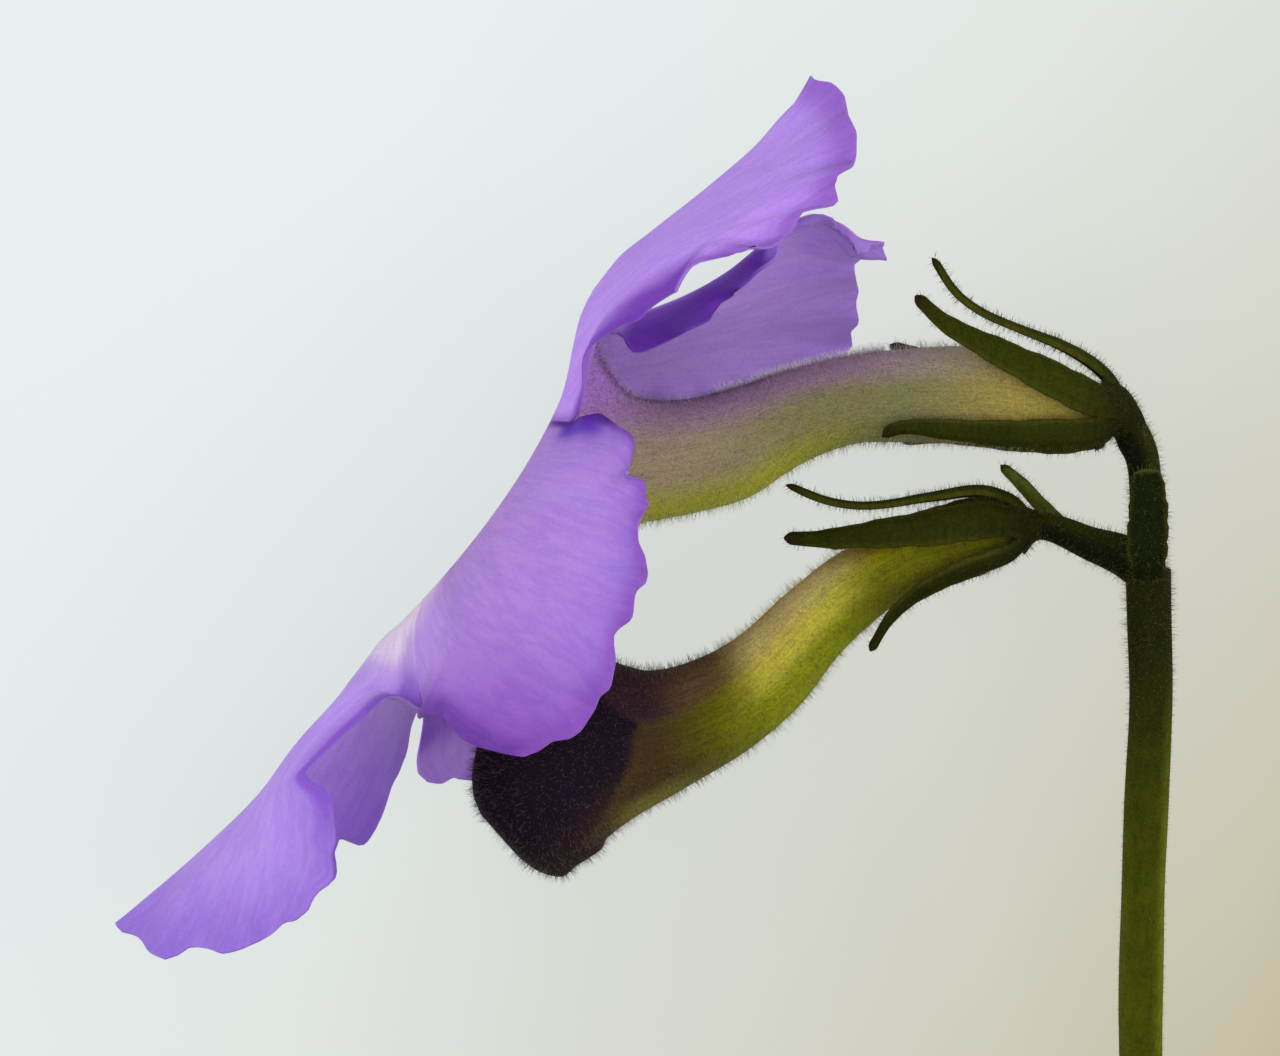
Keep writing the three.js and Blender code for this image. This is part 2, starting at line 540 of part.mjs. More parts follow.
// Gives a sheet its thickness: the same triangles on both faces, and a wall along every free edge.
function thicken({ points, quads }, thickness) {
  const normals = points.map(() => new THREE.Vector3());
  for (const [a, b, c, d] of quads) {
    const diagonal = points[c].clone().sub(points[a]);
    const other = points[d].clone().sub(points[b]);
    const normal = diagonal.cross(other);
    [a, b, c, d].forEach((i) => normals[i].add(normal));
  }
  normals.forEach((n) => n.normalize());
  const count = points.length;
  const sheets = [1, -1].flatMap((sign) => (
    points.map((p, i) => p.clone().addScaledVector(normals[i], (sign * thickness) / 2))
  ));
  const triangles = [];
  const edges = new Map();
  for (const [a, b, c, d] of quads) {
    triangles.push(a, b, c, a, c, d);
    triangles.push(a + count, c + count, b + count, a + count, d + count, c + count);
    for (const [i, j] of [[a, b], [b, c], [c, d], [d, a]]) {
      if (!edges.delete(`${j}_${i}`)) edges.set(`${i}_${j}`, [i, j]);
    }
  }
  for (const [i, j] of edges.values()) {
    triangles.push(j, i, i + count, j, i + count, j + count);
  }
  return solidGeometry(sheets, triangles);
}

// ---- Bud ----------------------------------------------------------------------------------
// How far the outermost folded lobe lifts the bud's side at a place x along and an angle around.
function flapLift(x, angle) {
  const turn = Math.acos(Math.cos(angle - BUD_FLAP.around));
  const inside = 1 - Math.hypot((x - BUD_FLAP.along) / BUD_FLAP.long, turn / BUD_FLAP.wide);
  return BUD_FLAP.lift * smooth(0, BUD_FLAP.slope, inside);
}

function budGeometry() {
  const { steps, sides } = BUD_MESH;
  const knots = BUD.map((_, i) => i);
  const columns = Array.from({ length: sides }, (_, c) => {
    const angle = (2 * Math.PI * c) / sides;
    return { angle, points: BUD.map((station) => ringPoint(station, angle)) };
  });
  const rings = Array.from({ length: steps + 1 }, (_, r) => {
    const x = ((BUD.length - 1) * r) / steps;
    const ring = columns.map(({ points }) => curveAt(points, knots, x));
    const centre = new THREE.Vector3();
    ring.forEach((p) => centre.addScaledVector(p, 1 / sides));
    return ring.map((p, c) => {
      const out = p.clone().sub(centre).normalize();
      return p.addScaledVector(out, flapLift(x, columns[c].angle));
    });
  });
  return loft(rings);
}

// ---- Assembly -----------------------------------------------------------------------------
const root = new THREE.Group();

function addPiece(name, geometry, { color, roughness }) {
  const material = new THREE.MeshStandardMaterial({ color, roughness, metalness: 0 });
  const mesh = new THREE.Mesh(geometry, material);
  mesh.name = name;
  root.add(mesh);
}

const calyx = (cup, sepals) => (
  joined([stalk(cup, CUP_MESH), ...sepals.map((sepal) => blade(sepal, SEPAL_STEPS))])
);

function stamenPair() {
  const anthers = new THREE.SphereGeometry(1, ANTHER_MESH.around, ANTHER_MESH.down);
  anthers.scale(...ANTHERS.size);
  anthers.translate(...ANTHERS.centre);
  const other = { ...FILAMENT, path: FILAMENT.path.map(([x, y, z]) => [x, y, -z]) };
  return joined([anthers, stalk(FILAMENT, FILAMENT_MESH), stalk(other, FILAMENT_MESH)]);
}

const greenStalk = joined([
  stalk(PEDUNCLE, PEDUNCLE_MESH),
  stalk(FLOWER_PEDICEL, PEDICEL_MESH),
  stalk(BUD_PEDICEL, PEDICEL_MESH),
]);
addPiece('flower_stalk', restOnFloor(greenStalk), LOOKS.stalk);
for (const [name, shape] of Object.entries(BRACTS)) {
  addPiece(name, blade(shape, BRACT_STEPS), LOOKS.bract);
}
addPiece('calyx_of_flower', calyx(FLOWER_CUP, FLOWER_SEPALS), LOOKS.sepal);
addPiece('calyx_of_bud', calyx(BUD_CUP, BUD_SEPALS), LOOKS.sepal);
addPiece('corolla', restOnFloor(thicken(corollaSheet(), PETAL)), LOOKS.petal);
addPiece('bud_corolla', budGeometry(), LOOKS.bud);
addPiece('pistil', stalk(PISTIL, PISTIL_MESH), LOOKS.pistil);
addPiece('stamens', stamenPair(), LOOKS.stamen);

// The origin is under the middle of the whole part, on the surface.
const box = new THREE.Box3().setFromObject(root, true);
const middle = box.getCenter(new THREE.Vector3());
root.position.set(-middle.x, -middle.y, -FLOOR_Z);

export default root;
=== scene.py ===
"""Looks of a cut cape primrose flower stalk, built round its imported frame.

Shapes are written in millimetres about the bloom's own mid-plane, as in the part's source: +X runs from the
bloom's face towards the stalk, +Y from the cut end to the bloom, +Z up. to_frame() takes them to the row
frame.
"""
import math
from functools import cached_property

import bpy
import numpy as np
from mathutils import Matrix, Vector


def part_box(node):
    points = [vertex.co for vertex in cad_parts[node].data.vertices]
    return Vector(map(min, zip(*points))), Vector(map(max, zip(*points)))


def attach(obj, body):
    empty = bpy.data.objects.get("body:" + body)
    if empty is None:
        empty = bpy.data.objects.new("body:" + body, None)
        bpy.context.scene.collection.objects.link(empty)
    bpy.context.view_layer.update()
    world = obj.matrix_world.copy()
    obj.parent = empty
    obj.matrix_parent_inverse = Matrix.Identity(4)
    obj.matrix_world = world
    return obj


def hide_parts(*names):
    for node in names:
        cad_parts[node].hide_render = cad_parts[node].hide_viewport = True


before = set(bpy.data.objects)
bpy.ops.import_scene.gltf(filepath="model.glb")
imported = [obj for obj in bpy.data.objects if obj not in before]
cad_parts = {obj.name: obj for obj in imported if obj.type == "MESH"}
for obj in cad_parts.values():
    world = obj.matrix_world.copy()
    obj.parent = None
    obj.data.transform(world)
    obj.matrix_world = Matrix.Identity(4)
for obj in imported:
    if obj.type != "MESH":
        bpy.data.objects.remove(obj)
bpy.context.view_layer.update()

MM = 0.001
TINY = 1e-9
FLOOR_Z = -15.4
STEM_RADIUS = 1.1
STEM_Z = FLOOR_Z + STEM_RADIUS
STEM_END = (26.4, -61.5)

# The petals' sheet: its thickness, and its columns and rows of faces. TUBE_ROWS are those between one station
# of the tube and the next, the last ones from mouth to crest and from crest to seat.
PETAL, TUBE_WALL, MARGIN_WALL = 0.26, 0.32, 0.14
LOBES, LOBE_COLUMNS, LOBE_ROWS = 5, 88, 48
T_ROWS = np.linspace(0, 1, LOBE_ROWS + 1) ** 0.9
TUBE_ROWS = [3] * 9 + [7, 5]
RUFFLE = {"height": 0.34, "length": 3.6, "fade": 6, "ripple": 0.25, "ripple_length": 1.7}
CRENATION = {"depth": 0.3, "length": 1.9, "swing": 0.55, "mean": 0.6, "fade": 9}
CORNER_CALM = 0.8
# How a margin follows its outline: samples along it, the furthest it is moved, its steepest slant across, the
# neighbours over which it eases in, and the largest jump it keeps.
MARGIN = {"samples": 600, "limit": 0.9, "steepest": 0.55, "ease": 4, "jump": 0.25}
GUIDES_PER_LOBE = 6

# Corolla tube: oval rings given by top and bottom in the mid-plane and half width across.
TUBE = [
    {"top": (23.1, 6.75), "bottom": (23.1, 4.85), "wide": 0.95},
    {"top": (20.0, 8.2), "bottom": (20.0, 4.4), "wide": 1.85},
    {"top": (16.75, 8.9), "bottom": (16.5, 4.4), "wide": 2.3},
    {"top": (13.25, 8.8), "bottom": (13.0, 4.45), "wide": 2.25},
    {"top": (10.25, 8.4), "bottom": (10.6, 4.35), "wide": 2.2},
    {"top": (7.25, 7.65), "bottom": (7.9, 3.3), "wide": 2.35},
    {"top": (4.75, 6.85), "bottom": (5.35, 1.65), "wide": 2.6},
    {"top": (2.0, 6.25), "bottom": (2.4, 0.85), "wide": 2.9},
    {"top": (-0.5, 6.5), "bottom": (-0.75, 0.15), "wide": 3.4},
    {"top": (-2.0, 8.3), "bottom": (-7.0, -3.1), "wide": 4.6},
    {"top": (-2.5, 10.5), "bottom": (-12.25, -5.2), "wide": 8.5, "bow": (1.65, 0.15)},
]

NOTCH = {
    "top": (-1.2, 9.8, 0.6),
    "near_side": (-3.35, 5.2, 9.0),
    "near_low": (-10.8, -9.0, 9.5),
    "far_low": (-11.2, -8.9, -9.5),
    "far_side": (-3.0, 5.0, -9.0),
}

# Each lobe: its two notches, the seat between them, five ribs out to the margin, and where it is seen
# against the light, the crenate outline that its margin follows there.
LOBE_SHAPES = [
    {  # the upper lobe on the near side
        "notches": ("top", "near_side"),
        "seat": [(-1.8, 11.5, 2.9), (-2.45, 11.4, 5.2), (-3.0, 9.4, 7.4)],
        "ribs": [
            [(0.0, 12.2, 1.7), (3.2, 15.45, 1.5), (6.1, 18.75, 2.0), (7.7, 20.7, 3.2)],
            [(-0.98, 13.25, 3.3), (0.45, 14.5, 3.6), (3.8, 17.2, 4.2), (6.5, 19.6, 5.0), (8.6, 22.2, 6.0)],
            [(-1.48, 12.55, 5.7), (0.65, 14.2, 6.4), (4.2, 16.6, 8.0), (7.4, 18.6, 9.2), (10.4, 20.6, 9.8)],
            [(0.4, 12.9, 9.4), (4.3, 15.1, 11.2), (7.5, 16.9, 12.0), (10.5, 18.2, 12.2)],
            [(-2.85, 6.5, 9.3), (-2.75, 8.6, 9.5), (-1.6, 9.7, 10.0), (0.3, 10.72, 10.8), (1.6, 11.7, 11.4),
                (2.35, 12.75, 12.0), (3.3, 13.3, 12.4), (5.6, 13.9, 13.0), (7.8, 15.5, 13.2),
                (9.7, 16.4, 12.8)],
        ],
        "calm": 1,
        "outlines": [[(6.1, 19.4), (6.42, 19.98), (6.95, 20.35), (7.55, 20.75), (7.95, 21.45), (8.42, 21.85),
            (8.62, 22.66), (8.8, 22.25), (9.55, 22.2), (10.15, 21.6), (10.35, 20.5), (10.75, 19.7),
            (10.75, 18.5), (10.55, 17.95), (9.85, 17.55), (9.65, 17.05), (9.85, 16.25), (9.6, 15.98),
            (8.7, 15.88), (7.9, 15.65), (7.9, 15.4), (7.6, 14.75), (6.9, 14.2), (6.4, 13.85), (5.7, 14.0),
            (4.9, 13.65), (3.55, 13.35), (2.8, 13.2), (2.4, 12.9), (2.3, 12.4), (2.1, 12.0), (1.65, 11.7),
            (1.1, 11.36), (0.55, 10.98), (0.1, 10.55), (-0.2, 10.15), (-0.4, 9.75)]],
    },
    {  # the side lobe on the near side
        "notches": ("near_side", "near_low"),
        "seat": [(-4.3, 2.9, 11.2), (-6.0, -0.6, 11.4), (-8.3, -3.8, 10.6)],
        "ribs": [
            [(-2.5, 5.65, 9.8), (-1.4, 5.5, 11.0), (-0.3, 4.7, 12.4)],
            [(-2.0, 2.4, 13.8), (0.25, 1.3, 15.3)],
            [(-3.2, -1.8, 14.8), (0.1, -2.7, 17.0)],
            [(-5.4, -6.0, 14.2), (-2.1, -8.3, 16.2)],
            [(-9.6, -9.6, 10.8), (-8.1, -10.8, 12.2), (-5.7, -11.2, 13.6)],
        ],
        "outlines": [[(-3.8, 5.15), (-3.35, 5.1), (-3.0, 5.5), (-2.0, 5.7), (-1.2, 5.15), (-0.4, 4.6),
            (-0.25, 4.1), (-0.45, 3.6), (-0.8, 3.0), (-0.7, 2.45), (0.1, 2.55), (0.3, 2.15), (0.25, 1.65),
            (0.45, 1.15), (-0.15, 0.15), (-0.1, -0.65), (0.25, -1.4), (0.4, -2.2), (0.27, -2.75),
            (-0.15, -3.02), (-0.3, -3.4), (-0.35, -4.2), (-0.45, -4.6), (-0.95, -4.92), (-1.33, -5.3),
            (-1.28, -5.9), (-1.18, -6.45), (-1.35, -7.2), (-1.5, -7.95), (-2.05, -8.4), (-2.25, -9.05),
            (-2.9, -10.05), (-3.5, -10.45), (-4.4, -10.6), (-5.05, -11.1), (-5.8, -11.35), (-6.7, -11.2),
            (-8.1, -10.85), (-8.9, -10.45), (-10.15, -8.9)]],
    },
    {  # the lower lobe
        "notches": ("near_low", "far_low"),
        "seat": [(-13.78, -7.4, 5.4), (-14.1, -7.65, 0.2), (-13.7, -7.6, -5.2)],
        "ribs": [
            [(-11.9, -8.4, 9.4), (-12.8, -8.5, 8.9), (-13.85, -9.45, 8.4), (-15.05, -10.5, 8.1),
                (-16.35, -11.75, 7.8), (-16.75, -12.2, 7.9), (-16.4, -12.6, 8.4), (-15.75, -12.95, 9.0),
                (-15.3, -13.9, 9.6), (-15.2, -16.6, 10.4), (-16.5, -18.9, 10.2)],
            [(-17.45, -11.45, 5.2), (-19.2, -15.8, 6.8), (-20.8, -21.1, 8.0)],
            [(-17.15, -11.6, 0.3), (-20.7, -15.15, 0.3), (-25.9, -19.95, 0.6)],
            [(-16.2, -12.2, -5.6), (-18.8, -16.2, -6.6), (-21.5, -20.2, -7.6)],
            [(-11.7, -11.4, -9.8), (-12.8, -13.7, -9.9), (-14.0, -15.8, -10.0), (-16.8, -18.0, -9.8)],
        ],
        "calm": -1,
        "outlines": [
            [(-10.8, -9.05), (-11.25, -8.85), (-11.9, -8.4), (-12.8, -8.5), (-13.85, -9.45), (-15.05, -10.5),
                (-16.35, -11.75), (-16.75, -12.2), (-16.4, -12.6), (-15.75, -12.95), (-15.35, -13.5),
                (-15.1, -15.4), (-15.4, -16.35), (-15.25, -17.1), (-15.3, -17.6), (-15.9, -18.0),
                (-16.2, -18.3), (-16.55, -19.05), (-17.2, -19.55), (-17.7, -19.6), (-18.3, -20.2),
                (-18.85, -20.5), (-19.85, -20.95), (-20.75, -21.2), (-21.5, -20.95), (-22.3, -20.85),
                (-22.8, -20.95), (-23.1, -21.4), (-23.5, -21.6), (-24.0, -21.35), (-24.45, -21.2),
                (-24.8, -20.65), (-25.35, -20.2), (-25.8, -20.3), (-26.2, -19.85), (-26.05, -19.5)],
            [(-11.4, -9.2), (-11.55, -9.95), (-11.75, -11.25), (-12.15, -12.3), (-12.45, -12.8),
                (-12.7, -13.55), (-13.0, -14.45), (-13.3, -15.1), (-13.65, -15.65), (-13.9, -15.95),
                (-14.4, -15.9), (-14.75, -15.7)],
        ],
    },
    {  # the side lobe on the far side
        "notches": ("far_low", "far_side"),
        "seat": [(-8.6, -4.4, -10.6), (-6.0, -0.9, -11.4), (-4.3, 2.4, -11.2)],
        "ribs": [
            [(-10.95, -10.0, -10.4), (-11.2, -11.7, -11.4), (-10.6, -12.6, -12.0)],
            [(-7.2, -8.4, -13.4), (-7.7, -12.5, -14.4)],
            [(-3.9, -3.6, -13.9), (-2.6, -7.2, -15.1)],
            [(-2.5, 0.9, -13.6), (-0.7, -1.2, -14.5)],
            [(-2.3, 4.9, -10.6), (-0.9, 3.4, -12.4)],
        ],
        "outlines": [[(-10.8, -9.15), (-11.2, -11.75), (-11.15, -12.35), (-10.65, -12.8), (-10.0, -12.9),
            (-9.45, -12.55), (-8.9, -12.7), (-8.25, -12.7)]],
    },
    {  # the upper lobe on the far side
        "limit": 1.3,
        "notches": ("far_side", "top"),
        "seat": [(-1.6, 7.6, -8.6), (-1.2, 9.6, -5.6), (-0.8, 10.4, -1.4)],
        "ribs": [
            [(-1.2, 6.2, -10.5), (1.8, 6.0, -12.8), (6.2, 6.3, -14.9), (9.5, 7.6, -15.3)],
            [(2.4, 8.4, -10.2), (6.4, 9.0, -12.4), (10.7, 9.4, -14.0)],
            [(2.6, 10.6, -5.6), (6.6, 11.9, -6.5), (10.9, 12.7, -7.3)],
            [(1.85, 11.3, -0.6), (4.25, 12.6, -0.6), (6.25, 14.15, -0.8), (8.5, 15.5, -1.7),
                (10.1, 14.85, -2.5), (11.1, 14.0, -3.2), (12.3, 13.9, -3.8)],
            [(0.4, 8.9, 1.8), (2.2, 9.8, 2.1), (3.8, 10.7, 2.0), (5.4, 12.3, 1.6), (7.6, 15.0, 0.6),
                (9.0, 15.4, -0.1), (10.1, 14.75, -0.4), (10.7, 13.95, -0.8)],
        ],
        "outlines": [
            [(10.75, 8.95), (10.6, 9.95), (11.05, 10.35), (10.8, 11.35), (11.0, 11.9), (10.75, 12.9),
                (10.75, 13.75), (11.5, 13.78), (12.35, 13.65), (12.2, 13.95), (11.95, 14.25), (11.65, 14.15),
                (11.3, 14.15), (10.6, 14.65), (10.1, 15.1), (9.5, 15.5), (8.95, 15.7), (8.2, 15.7)],
            [(-0.95, 8.6), (0.1, 8.75), (1.0, 9.15), (1.95, 9.65), (3.6, 10.45), (3.75, 10.95),
                (4.05, 11.45), (4.95, 11.9), (5.45, 12.2), (5.75, 12.7), (5.95, 13.2)],
        ],
    },
]

# Closed corolla of the bud: oval rings, with z as the ring's place across.
BUD = [
    {"top": (18.9, 0.55), "bottom": (18.8, -0.65), "wide": 0.65, "z": -0.4},
    {"top": (15.5, 0.5), "bottom": (15.9, -2.2), "wide": 1.2, "z": -0.7},
    {"top": (12.5, -0.1), "bottom": (13.75, -3.2), "wide": 1.6, "z": -1.2},
    {"top": (9.95, -1.25), "bottom": (12.1, -4.35), "wide": 1.9, "z": -1.7},
    {"top": (7.4, -3.2), "bottom": (10.0, -6.3), "wide": 2.0, "z": -2.2},
    {"top": (5.1, -5.25), "bottom": (8.0, -8.85), "wide": 2.3, "z": -2.7},
    {"top": (3.0, -6.45), "bottom": (5.5, -11.0), "wide": 2.6, "z": -3.1},
    {"top": (0.5, -7.1), "bottom": (2.4, -12.9), "wide": 3.0, "z": -3.5},
    {"top": (-2.5, -6.65), "bottom": (-0.4, -14.55), "wide": 3.3, "z": -3.8},
    {"top": (-5.5, -8.75), "bottom": (-2.15, -15.9), "wide": 3.5, "z": -4.0},
    {"top": (-7.6, -10.3), "bottom": (-3.35, -16.7), "wide": 3.2, "z": -4.0},
    {"top": (-8.2, -12.0), "bottom": (-4.1, -17.25), "wide": 2.6, "z": -4.0},
    {"top": (-8.2, -13.5), "bottom": (-5.25, -17.0), "wide": 1.8, "z": -4.0},
    {"top": (-7.8, -14.55), "bottom": (-6.25, -16.3), "wide": 0.9, "z": -4.0},
]
BUD_SIDES = 96
BUD_ROWS = 150
# Folded lobes of the bud's end: middle along (in stations) and around, half sizes, and how far each lifts.
BUD_FLAPS = [
    {"along": 10.8, "around": 0.0, "long": 3.2, "wide": 1.15, "lift": 0.24},
    {"along": 9.2, "around": 0.1, "long": 1.75, "wide": 0.3, "lift": 0.2},
    {"along": 11.2, "around": 2.1, "long": 2.6, "wide": 0.95, "lift": 0.22},
    {"along": 11.0, "around": 4.3, "long": 2.4, "wide": 1.1, "lift": 0.28},
    {"along": 11.9, "around": 5.5, "long": 1.9, "wide": 0.7, "lift": 0.2},
]

# Sepals: where one sets deep, its green is darkened as painted shade.
FLOWER_SEPALS = [
    {"path": [(24.0, 6.3, 0), (23.2, 7.6, 0), (21.4, 8.85, 0), (19.25, 9.75, 0), (17.2, 10.65, 0),
        (15.75, 11.75, 0), (14.6, 13.5, 0)], "breadth": 1.7, "face": (0.3, 1, 0)},
    {"path": [(23.9, 6.0, 0.7), (22.8, 6.35, 2.0), (20.0, 7.75, 2.4), (17.9, 8.8, 2.6), (15.3, 10.2, 2.5),
        (13.75, 11.6, 2.1)], "breadth": 2.0, "face": (0.1, 0.45, 1)},
    {"path": [(23.9, 5.5, 0.6), (22.8, 4.85, 2.0), (20.4, 4.7, 2.4), (17.5, 4.75, 2.65), (15.0, 4.95, 2.85),
        (13.5, 5.05, 2.8), (12.6, 4.9, 2.7), (12.1, 4.55, 2.55)], "breadth": 1.6, "face": (0, -0.45, 1),
     "slim": 2, "deep": 0.35},
    {"path": [(23.9, 5.4, -0.6), (22.8, 4.75, -2.0), (20.7, 4.5, -2.4), (18.0, 4.55, -2.65),
        (15.4, 4.65, -2.8), (13.0, 4.4, -2.6)], "breadth": 1.8, "face": (0, -0.5, -1)},
    {"path": [(23.9, 6.0, -0.7), (22.8, 6.5, -2.0), (20.0, 7.5, -2.45), (17.2, 8.15, -2.9),
        (14.6, 8.5, -3.1), (12.5, 9.15, -3.0)], "breadth": 1.8, "face": (0, 0.45, -1)},
]
FLOWER_CUP = {"path": [(24.75, 4.35, 0), (24.55, 4.8, 0), (24.25, 5.3, 0), (23.65, 5.72, 0), (22.95, 5.8, 0)],
              "radii": [0.8, 0.86, 1.0, 1.45, 1.95]}
# Where a bud's sepal sets deep, its green is darkened as painted shade.
BUD_SEPALS = [
    {"path": [(19.3, 0.5, -0.35), (18.5, 1.3, -0.4), (17.0, 1.75, -0.5), (14.5, 1.45, -0.7),
        (11.5, 1.05, -1.0), (9.4, 1.3, -1.3), (7.3, 2.15, -1.5)], "breadth": 1.5, "face": (0, 1, 0)},
    {"path": [(19.2, 0.2, 0.2), (18.4, 0.35, 0.95), (17.0, 0.4, 1.25), (15.0, 0.08, 1.3), (13.0, -0.17, 1.2),
        (11.0, -0.38, 1.05), (9.0, -0.55, 0.8), (7.2, -0.5, 0.5)], "breadth": 2.1, "face": (0.1, 0.35, 1),
     "deep": 0.35},
    {"path": [(19.2, -0.5, 0.0), (18.4, -1.25, 0.5), (16.6, -1.95, 0.95), (15.2, -2.55, 0.95),
        (13.7, -3.4, 0.85), (12.5, -4.5, 0.7), (11.5, -6.15, 0.4)], "breadth": 1.45,
     "face": (-0.35, -1, 0.75), "slim": 4.5, "deep": 0.6},
    {"path": [(19.2, -0.2, -0.9), (18.4, -0.9, -1.6), (16.4, -1.8, -2.5), (14.2, -2.4, -3.3),
        (12.2, -2.8, -4.1), (10.3, -2.7, -4.8)], "breadth": 1.7, "face": (0, -0.5, -1)},
    {"path": [(19.2, 0.3, -0.9), (18.4, 0.75, -1.65), (16.4, 0.7, -2.45), (14.2, 0.2, -3.2),
        (11.8, -0.4, -4.0), (9.4, -0.9, -4.6)], "breadth": 1.7, "face": (0, 0.4, -1)},
]
BUD_CUP = {"path": [(20.5, 0.04, -0.18), (20.0, 0.1, -0.2), (19.6, 0.1, -0.25), (19.2, 0.05, -0.35),
    (18.85, -0.05, -0.4)],
           "radii": [0.62, 0.7, 0.88, 1.12, 1.32]}
BRACTS = {
    "bract_near": {"path": [(25.4, -2.45, 1.1), (25.35, -1.0, 1.6), (25.4, 1.0, 1.6), (25.35, 2.3, 1.5),
        (25.3, 2.95, 1.35)], "breadth": 2.05, "face": (0, 0, 1), "slim": 1, "narrows": 0.35, "blunt": 0.5},
    "bract_far": {"path": [(24.6, -1.9, -1.0), (22.8, -1.25, -1.9), (21.3, -0.05, -2.05), (20.1, 1.1, -2.15),
        (19.1, 2.2, -1.95), (18.05, 3.15, -1.65)], "breadth": 0.9, "face": (0.5, 0.6, -1), "slim": 1,
     "narrows": 0.35},
}
# Blades: breadth at the root and where it is full, where a blade starts to narrow, how slim and how blunt its
# tip is, how far its section arches, its half thickness inside and at the edges, how dark its green is as
# painted shade, how much thicker its root is, its midrib, and how uneven its edge.
BLADE = {"root": 0.75, "full": 0.3, "narrows": 0.1, "slim": 3, "blunt": 0.3, "arch": 0.18, "thick": 0.21,
         "edge": 0.1, "deep": 0, "root_thick": 0.12, "rib": 0.07, "rib_width": 0.16, "uneven": (0.035, 0.02)}
PEDUNCLE = {
    "path": [(*STEM_END, STEM_Z), (26.4, -59.5, STEM_Z), (26.15, -50.0, -13.1), (25.55, -38.0, -10.2),
        (25.15, -26.4, -6.6), (25.2, -18.6, -4.3), (25.35, -13.6, -2.9), (25.55, -8.6, -1.5),
        (25.45, -4.6, -0.5), (25.4, -2.1, 0)],
    "radii": [STEM_RADIUS] * 8 + [1.1, 1.14],
}
FLOWER_PEDICEL = {
    "path": [(25.35, -2.6, 0), (25.3, -0.5, 0), (25.3, 1.5, 0), (25.2, 3.0, 0), (25.02, 3.8, 0),
        (24.74, 4.4, 0), (24.5, 4.95, 0)],
    "radii": [1.0, 0.87, 0.82, 0.82, 0.86, 0.9, 0.85],
}
BUD_PEDICEL = {
    "path": [(25.35, -2.2, 0), (24.2, -1.4, -0.05), (22.45, -0.75, -0.1), (21.2, -0.2, -0.15),
        (20.5, 0.04, -0.18), (19.9, 0.1, -0.22)],
    "radii": [1.08, 1.04, 0.84, 0.74, 0.7, 0.68],
}
PISTIL = {
    "path": [(23.0, 5.8, 0), (20.0, 6.3, 0), (16.6, 6.7, 0), (13.0, 6.65, 0), (10.4, 6.3, 0), (7.6, 5.4, 0),
        (4.6, 4.4, 0), (1.9, 3.92, 0), (1.3, 3.88, 0), (0.5, 3.88, 0), (0.2, 3.9, 0)],
    "radii": [0.5, 0.62, 0.6, 0.55, 0.42, 0.36, 0.32, 0.3, 0.52, 0.5, 0.24],
}
FILAMENT = {
    "path": [(9.3, 4.25, 0.9), (7.7, 4.3, 0.95), (6.6, 3.95, 1.1), (4.6, 3.4, 1.3), (2.4, 3.15, 1.2),
        (0.6, 2.85, 0.75), (-0.6, 2.5, 0.25)],
    "radii": [0.28, 0.28, 0.26, 0.24, 0.24, 0.22, 0.2],
}
STIGMA = {"centre": (0.55, 3.9, 0.3), "size": (0.34, 0.3, 0.38), "halves": (0,), "dimple": 0.0}
ANTHER = {"centre": (-0.7, 2.45, 0.42), "size": (0.72, 0.46, 0.5), "halves": (0.12, -0.16), "dimple": 0.2}

# Hairs: how many stand on a square millimetre, how long and thick they are, their own colour, and how much of
# it shows over the skin's below, from root and middle (paling) to tip. HAIR holds what most have in common,
# such as how far they spread and curl, and the parts of the length below and above the bend.
HAIR = {"lean": (0, 0, 0), "shorter_below": 0, "from_y": (0, 1), "paling": (0.15, 0.6), "skin": "pale",
        "spread": 0.24, "curl": 0.3, "follow": 0.6, "sunk": 0.03, "lower": 0.6, "upper": 0.45, "taper": 0.62,
        "clear": 0.05}
HAIRS = {
    "tube": {"slot": "petal_lilac", "per_mm2": 25, "lengths": (0.2, 0.7), "radius": 0.01,
             "colour": (240, 236, 238), "own": 0.9, "lean": (-0.25, 0, 0)},
    "tube_top": {"slot": "petal_lilac", "per_mm2": 90, "lengths": (0.3, 0.65), "radius": 0.014,
                 "colour": (255, 250, 255), "own": 1.0, "paling": (0.7, 1.0), "skin": "white"},
    "limb": {"slot": "petal_lilac", "per_mm2": 6, "lengths": (0.12, 0.3), "radius": 0.009,
             "colour": (226, 212, 244), "own": 0.8},
    "bud": {"slot": "bud_olive", "per_mm2": 32, "lengths": (0.2, 0.65), "radius": 0.009,
            "colour": (228, 220, 206), "own": 0.6},
    "calyx": {"slot": "sepal_green", "per_mm2": 30, "lengths": (0.15, 0.5), "radius": 0.01,
              "colour": (170, 164, 104), "own": 0.6, "lean": (-0.15, 0, 0)},
    "bract": {"slot": "bract_green", "per_mm2": 40, "lengths": (0.15, 0.5), "radius": 0.01,
              "colour": (190, 192, 110), "own": 0.7},
    "stalk": {"slot": "stalk_green", "per_mm2": 30, "lengths": (0.15, 0.6), "radius": 0.008,
              "colour": (226, 224, 160), "own": 0.6, "shorter_below": 0.6, "from_y": (-12, -4)},
}

# The stage, in metres of the row frame; the view's width is in millimetres at the bloom's mid-plane.
FLOOR_SIZE = 3.0
FLOOR_COLOURS = {"cool": (235, 243, 243), "warm": (202, 194, 166), "plain": (226, 231, 229)}
